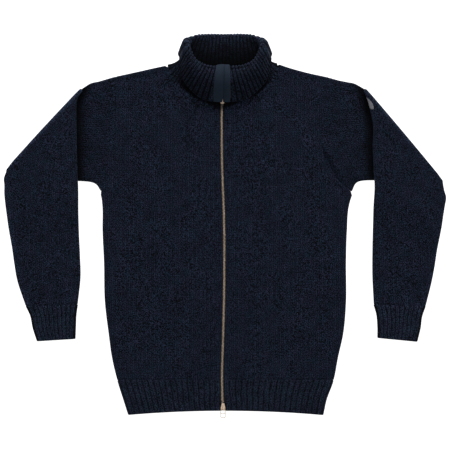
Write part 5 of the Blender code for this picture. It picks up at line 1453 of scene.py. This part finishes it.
def join(name, pieces):
    """Join pieces into one object; their meshes already hold their places."""
    with bpy.context.temp_override(active_object=pieces[0], object=pieces[0],
                                   selected_editable_objects=pieces, selected_objects=pieces):
        bpy.ops.object.join()
    pieces[0].name = pieces[0].data.name = name
    return pieces[0]


def plate(name, outline, low, high, edge, place):
    """Plate with rounded edges: the outline at four levels, smaller at the top and bottom ones."""
    outline = np.asarray(outline, float)
    middle = outline.mean(axis=0)
    size = np.abs(outline - middle).max()
    levels = ((low, edge), (low + edge, 0), (high - edge, 0), (high, edge))
    rings = [np.column_stack([middle + (outline - middle) * (1 - inset / size),
                              np.full(len(outline), level)]) + place for level, inset in levels]
    return loft(name, rings, brass)


def shield(wide, narrow, length, count=11):
    """Outline of a slider plate: wide and square at the mouth, narrowing on a cosine to its nose."""
    t = np.linspace(0, 1, count)
    half = narrow + (wide - narrow) * (0.5 + 0.5 * np.cos(np.pi * ramp(t, 0.25, 0.7)))
    nose, mouth = np.clip((t - 0.86) / 0.2, 0, 1), np.clip((0.08 - t) / 0.16, 0, 1)
    half = half * np.sqrt(1 - nose**2) * np.sqrt(1 - mouth**2)
    y = t * length
    return np.concatenate([np.column_stack([half, y]), np.column_stack([-half[::-1], y[::-1]])])


# %% Lower slider and its pull
WEDGE = np.array([(-3.0, 0.6), (3.0, 0.6), (2.2, 9.0), (0.9, 13.0), (-0.9, 13.0), (-2.2, 9.0)])
# y and z of the arch over the slider
ARCH = np.array([(-387.5, 7.8), (-387.6, 10.0), (-386.9, 10.9), (-384.4, 10.95), (-380.4, 9.2),
                 (-378.6, 7.8)])
PULL_CORNER, PULL_BAR_Y = 1.6, -9.2
# the upper slider: share of the way down it, and its width there against the lower one's
TOP_SIZES = ((0.0, 0.6), (0.05, 0.68), (0.3, 0.76), (0.6, 0.86), (0.9, 0.8), (1.0, 0.62))


def make_bottom_slider():
    """Two plates, the wedge between them, and the arch that holds the pull."""
    low_y, high_y = SLIDER_ENDS
    outline = shield(SLIDER_HALF, SLIDER_HALF * 0.66, high_y - low_y)
    corner = np.array([PULL_PIVOT[0], low_y, 0.0])
    parts = [plate("plate", shape, low, high, edge, corner) for shape, low, high, edge in (
        (outline, 3.9, 4.7, 0.25), (outline, 7.0, 8.2, 0.35), (WEDGE, 4.4, 7.3, 0.1))]
    line = smooth(np.arange(len(ARCH)), ARCH, np.linspace(0, len(ARCH) - 1, 26))
    arch = np.column_stack([np.full(len(line), PULL_PIVOT[0]), line])
    return join("slider_bottom_brass", parts + [wire("arch", arch, 0.95, False, flatten=0.48)])


def make_pull():
    """Wire frame: rounded rectangle of round wire with a bar across it, turned down to its rest slope."""
    half, radius = PULL_HALF - PULL_WIRE / 2, PULL_CORNER
    quarter = np.linspace(0, np.pi / 2, 6)
    low = radius - PULL_LENGTH
    centres = ((half - radius, -radius, 0), (-(half - radius), -radius, np.pi / 2),
               (-(half - radius), low, np.pi), (half - radius, low, 1.5 * np.pi))
    frame_line = np.concatenate([np.column_stack([x + radius * np.cos(quarter + turn),
                                                  y + radius * np.sin(quarter + turn)])
                                 for x, y, turn in centres])
    bar_line = np.column_stack([np.linspace(-half, half, 5), np.full(5, PULL_BAR_Y)])
    slope = np.radians(PULL_SLOPE)
    rest = np.array([(1, 0, 0), (0, np.cos(slope), np.sin(slope))])
    parts = [wire("wire", PULL_PIVOT + line @ rest, half_wire, closed) for line, half_wire, closed in (
        (frame_line, PULL_WIRE / 2, True), (bar_line, PULL_WIRE / 2 * 0.9, False))]
    return join("pull_tab_wire", parts)


def make_top_slider():
    """Back of the upper slider: two plates that follow the collar down to its free edge, and a web."""
    places = []
    for share, size in TOP_SIZES:
        step = between(TOP_SLIDER_STEPS, share)
        inside = min(step, 3.0)
        middle, inward = zip_frame([inside - 0.05, inside])
        ahead = middle[1] + (middle[1] - middle[0]) * (step - inside) / 0.05
        places.append((ahead, inward[1], size))

    def plate_section(size, low, high, edge=0.3):
        half = SLIDER_HALF * size
        return [(-half, low + edge), (-half + edge, low), (half - edge, low), (half, low + edge),
                (half, high - edge), (half - edge, high), (-half + edge, high), (-half, high - edge)]

    def web_section(size, low, high, half=2.4):
        return [(-half * size, low), (half * size, low), (half * size, high), (-half * size, high)]

    parts = []
    for section, low, high in ((plate_section, 0.1, 1.0), (plate_section, 2.8, 3.75),
                               (web_section, 0.8, 3.0)):
        rings = [[point + (x, 0, 0) + inward * (lift - TAPE_LIFT) for x, lift in section(size, low, high)]
                 for point, inward, size in places]
        parts.append(loft("part", rings, brass))
    return join("slider_top_brass", parts)


slider_bottom, pull, slider_top = make_bottom_slider(), make_pull(), make_top_slider()
print("pull:", PULL_LENGTH, "mm long")

# %% [markdown]
# ## Patch on the sleeve
#
# A small woven patch is sewn over the fold of one sleeve, so that half of it shows. It is plain here:
# a close twill of grey yarn, 1 mm thick.

# %% Plain woven patch
PATCH_STATION, PATCH_HALF, PATCH_SLANT = 5.82, 0.36, 4.0


def patch_material():
    """Twill: diagonal bands between two greys, one for every 1.4 mm across or up the patch."""
    material, tree, shader = begin("woven_twill_patch", Roughness=0.85, Sheen_Weight=0.2)
    share = stripes(tree, "diagonal", 1.4)
    dress(tree, shader, share, linear("#74767e"), linear("#a6a8b0"), share, 0.2)
    return material


def make_patch():
    """Patch from the sleeve's own surface, 0.3 to 1.3 mm above it: station = middle + half * t - slant
    * share, with half shrinking as (1 - 0.8 share^4)^0.5 to round its corners."""
    t = np.linspace(-1, 1, 26)
    shares = np.concatenate([np.zeros(6), np.linspace(0.0, 0.068, 14)])
    angles = np.radians(np.concatenate([np.linspace(210, 270, 7)[:-1], np.full(14, 270.0)]))
    half = PATCH_HALF * np.sqrt(1 - 0.8 * (shares / shares[-1])**4)

    def face(radius):
        return np.concatenate([sleeve_points(False, PATCH_STATION + h * t - PATCH_SLANT * share,
                                             (np.array([share]), np.array([angle])), radius)
                               for h, share, angle in zip(half, shares, angles)], axis=1)

    outer, inner = face(BODY_TURN + 1.3), face(BODY_TURN + 0.3)
    return shell("sleeve_patch_twill", outer, inner, in_millimetres(outer, -1), patch_material())


patch = make_patch()

# %% [markdown]
# ## Which body each piece rides on
#
# Everything is sewn into one garment. Only the wire pull of the lower slider swings.

# %% Bodies and finishes
def cloth(piece, replaced):
    """Put a finished sheet of cloth on the garment's body, hide the node it stands for, and print its
    faces.
    """
    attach(piece, "garment")
    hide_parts(*replaced)
    print(piece.name, "faces:", len(piece.data.polygons))


for right in (True, False):
    side = "right" if right else "left"
    cloth(fronts[right], ["front_" + side])
    cloth(hems[right], ["hem_rib_front_" + side])
    cloth(sleeves[right], ["sleeve_" + side])
    cloth(cuffs[right], ["cuff_" + side])
    cloth(tapes[right], ["zip_stringer_" + side])
    cloth(facings[right], ["facing_" + side])
    cloth(links[right], [])
cloth(back, ["body_back"])
cloth(hem_back, ["hem_rib_back"])
cloth(collar, ["collar"])
cloth(patch, ["sleeve_patch"])
for piece, body, node in ((teeth[True], "garment", "zip_stringer_right"),
                          (teeth[False], "garment", "zip_stringer_left"),
                          (slider_bottom, "garment", "slider_bottom"), (pull, "zip_pull", "pull_tab"),
                          (slider_top, "garment", "slider_top")):
    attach(piece, body)
    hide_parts(node)
# the upper slider's pull is hardly seen, so its solid stays, in brass
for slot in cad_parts["slider_top_pull"].material_slots:
    slot.material = brass

# %% [markdown]
# ## Table, light and camera
#
# The picture was taken straight from above on a white table that gives no shadow. A wide softbox
# stands beyond the collar and lights the folds from the side. A weaker one hangs overhead and two more
# stand left and right, and the white table itself glows, as a back-lit table does. The camera has a
# long lens, four metres up, so that no side of the garment leans.

# %% Table and lights
def white_table():
    """White acrylic: nearly white, matt, with a faint glow of its own."""
    material, tree, shader = begin("white_acrylic_table", Base_Color=(0.9, 0.9, 0.9, 1.0), Roughness=0.6,
                                   Emission_Color=(1.0, 1.0, 1.0, 1.0), Emission_Strength=1.0)
    place = add(tree, "TexCoord").outputs["Object"]
    grain = add(tree, "TexNoise", {"Vector": place, "Scale": 40.0, "Detail": 2.0})
    relief = add(tree, "Bump", {"Height": grain.outputs["Fac"], "Distance": 0.05 * MM})
    tree.links.new(relief.outputs[0], shader.inputs["Normal"])
    return material


def softbox(name, place, size, power):
    """Rectangular light that looks at the middle of the garment; metres and watts."""
    light = bpy.data.lights.new(name, "AREA")
    light.shape, light.size, light.size_y, light.energy = "RECTANGLE", size[0], size[1], power
    made = put(name, light)
    made.location = place
    made.rotation_euler = (-made.location).to_track_quat("-Z", "Y").to_euler()


TABLE_HALF, TABLE_TOP = 12, -0.0006
corners = [(x * TABLE_HALF, y * TABLE_HALF, TABLE_TOP) for x, y in ((-1, -1), (1, -1), (1, 1), (-1, 1))]
table = put("white_table", bpy.data.meshes.new("white_table"))
table.data.from_pydata(corners, [], [(0, 1, 2, 3)])
table.data.materials.append(white_table())

scene = bpy.context.scene
scene.view_settings.view_transform = "Standard"
scene.world = scene.world or bpy.data.worlds.new("studio_fill")
scene.world.use_nodes = True
nodes = scene.world.node_tree.nodes
background = nodes.get("Background") or nodes.new("ShaderNodeBackground")
background.inputs["Color"].default_value = (1.0, 1.0, 1.0, 1.0)
background.inputs["Strength"].default_value = 0.10
softbox("softbox_top", (0.3, 5.4, 2.4), (5.0, 1.5), 165.0)
softbox("softbox_above", (0.0, -0.3, 5.0), (1.8, 1.8), 28.0)
softbox("softbox_left", (-2.6, 0.6, 1.0), (0.6, 1.8), 6.0)
softbox("softbox_right", (2.6, 0.6, 1.0), (0.6, 1.8), 8.0)

# %% Camera
FRAME_WIDTH, CAMERA_HEIGHT, SENSOR = 0.945, 4.0, 36.0
lens = bpy.data.cameras.new("camera_above")
lens.sensor_width, lens.lens = SENSOR, SENSOR * CAMERA_HEIGHT / FRAME_WIDTH
scene.camera = put("camera_above", lens)
scene.camera.location = (0.0, 0.0, CAMERA_HEIGHT)
print("lens:", round(lens.lens), "mm")
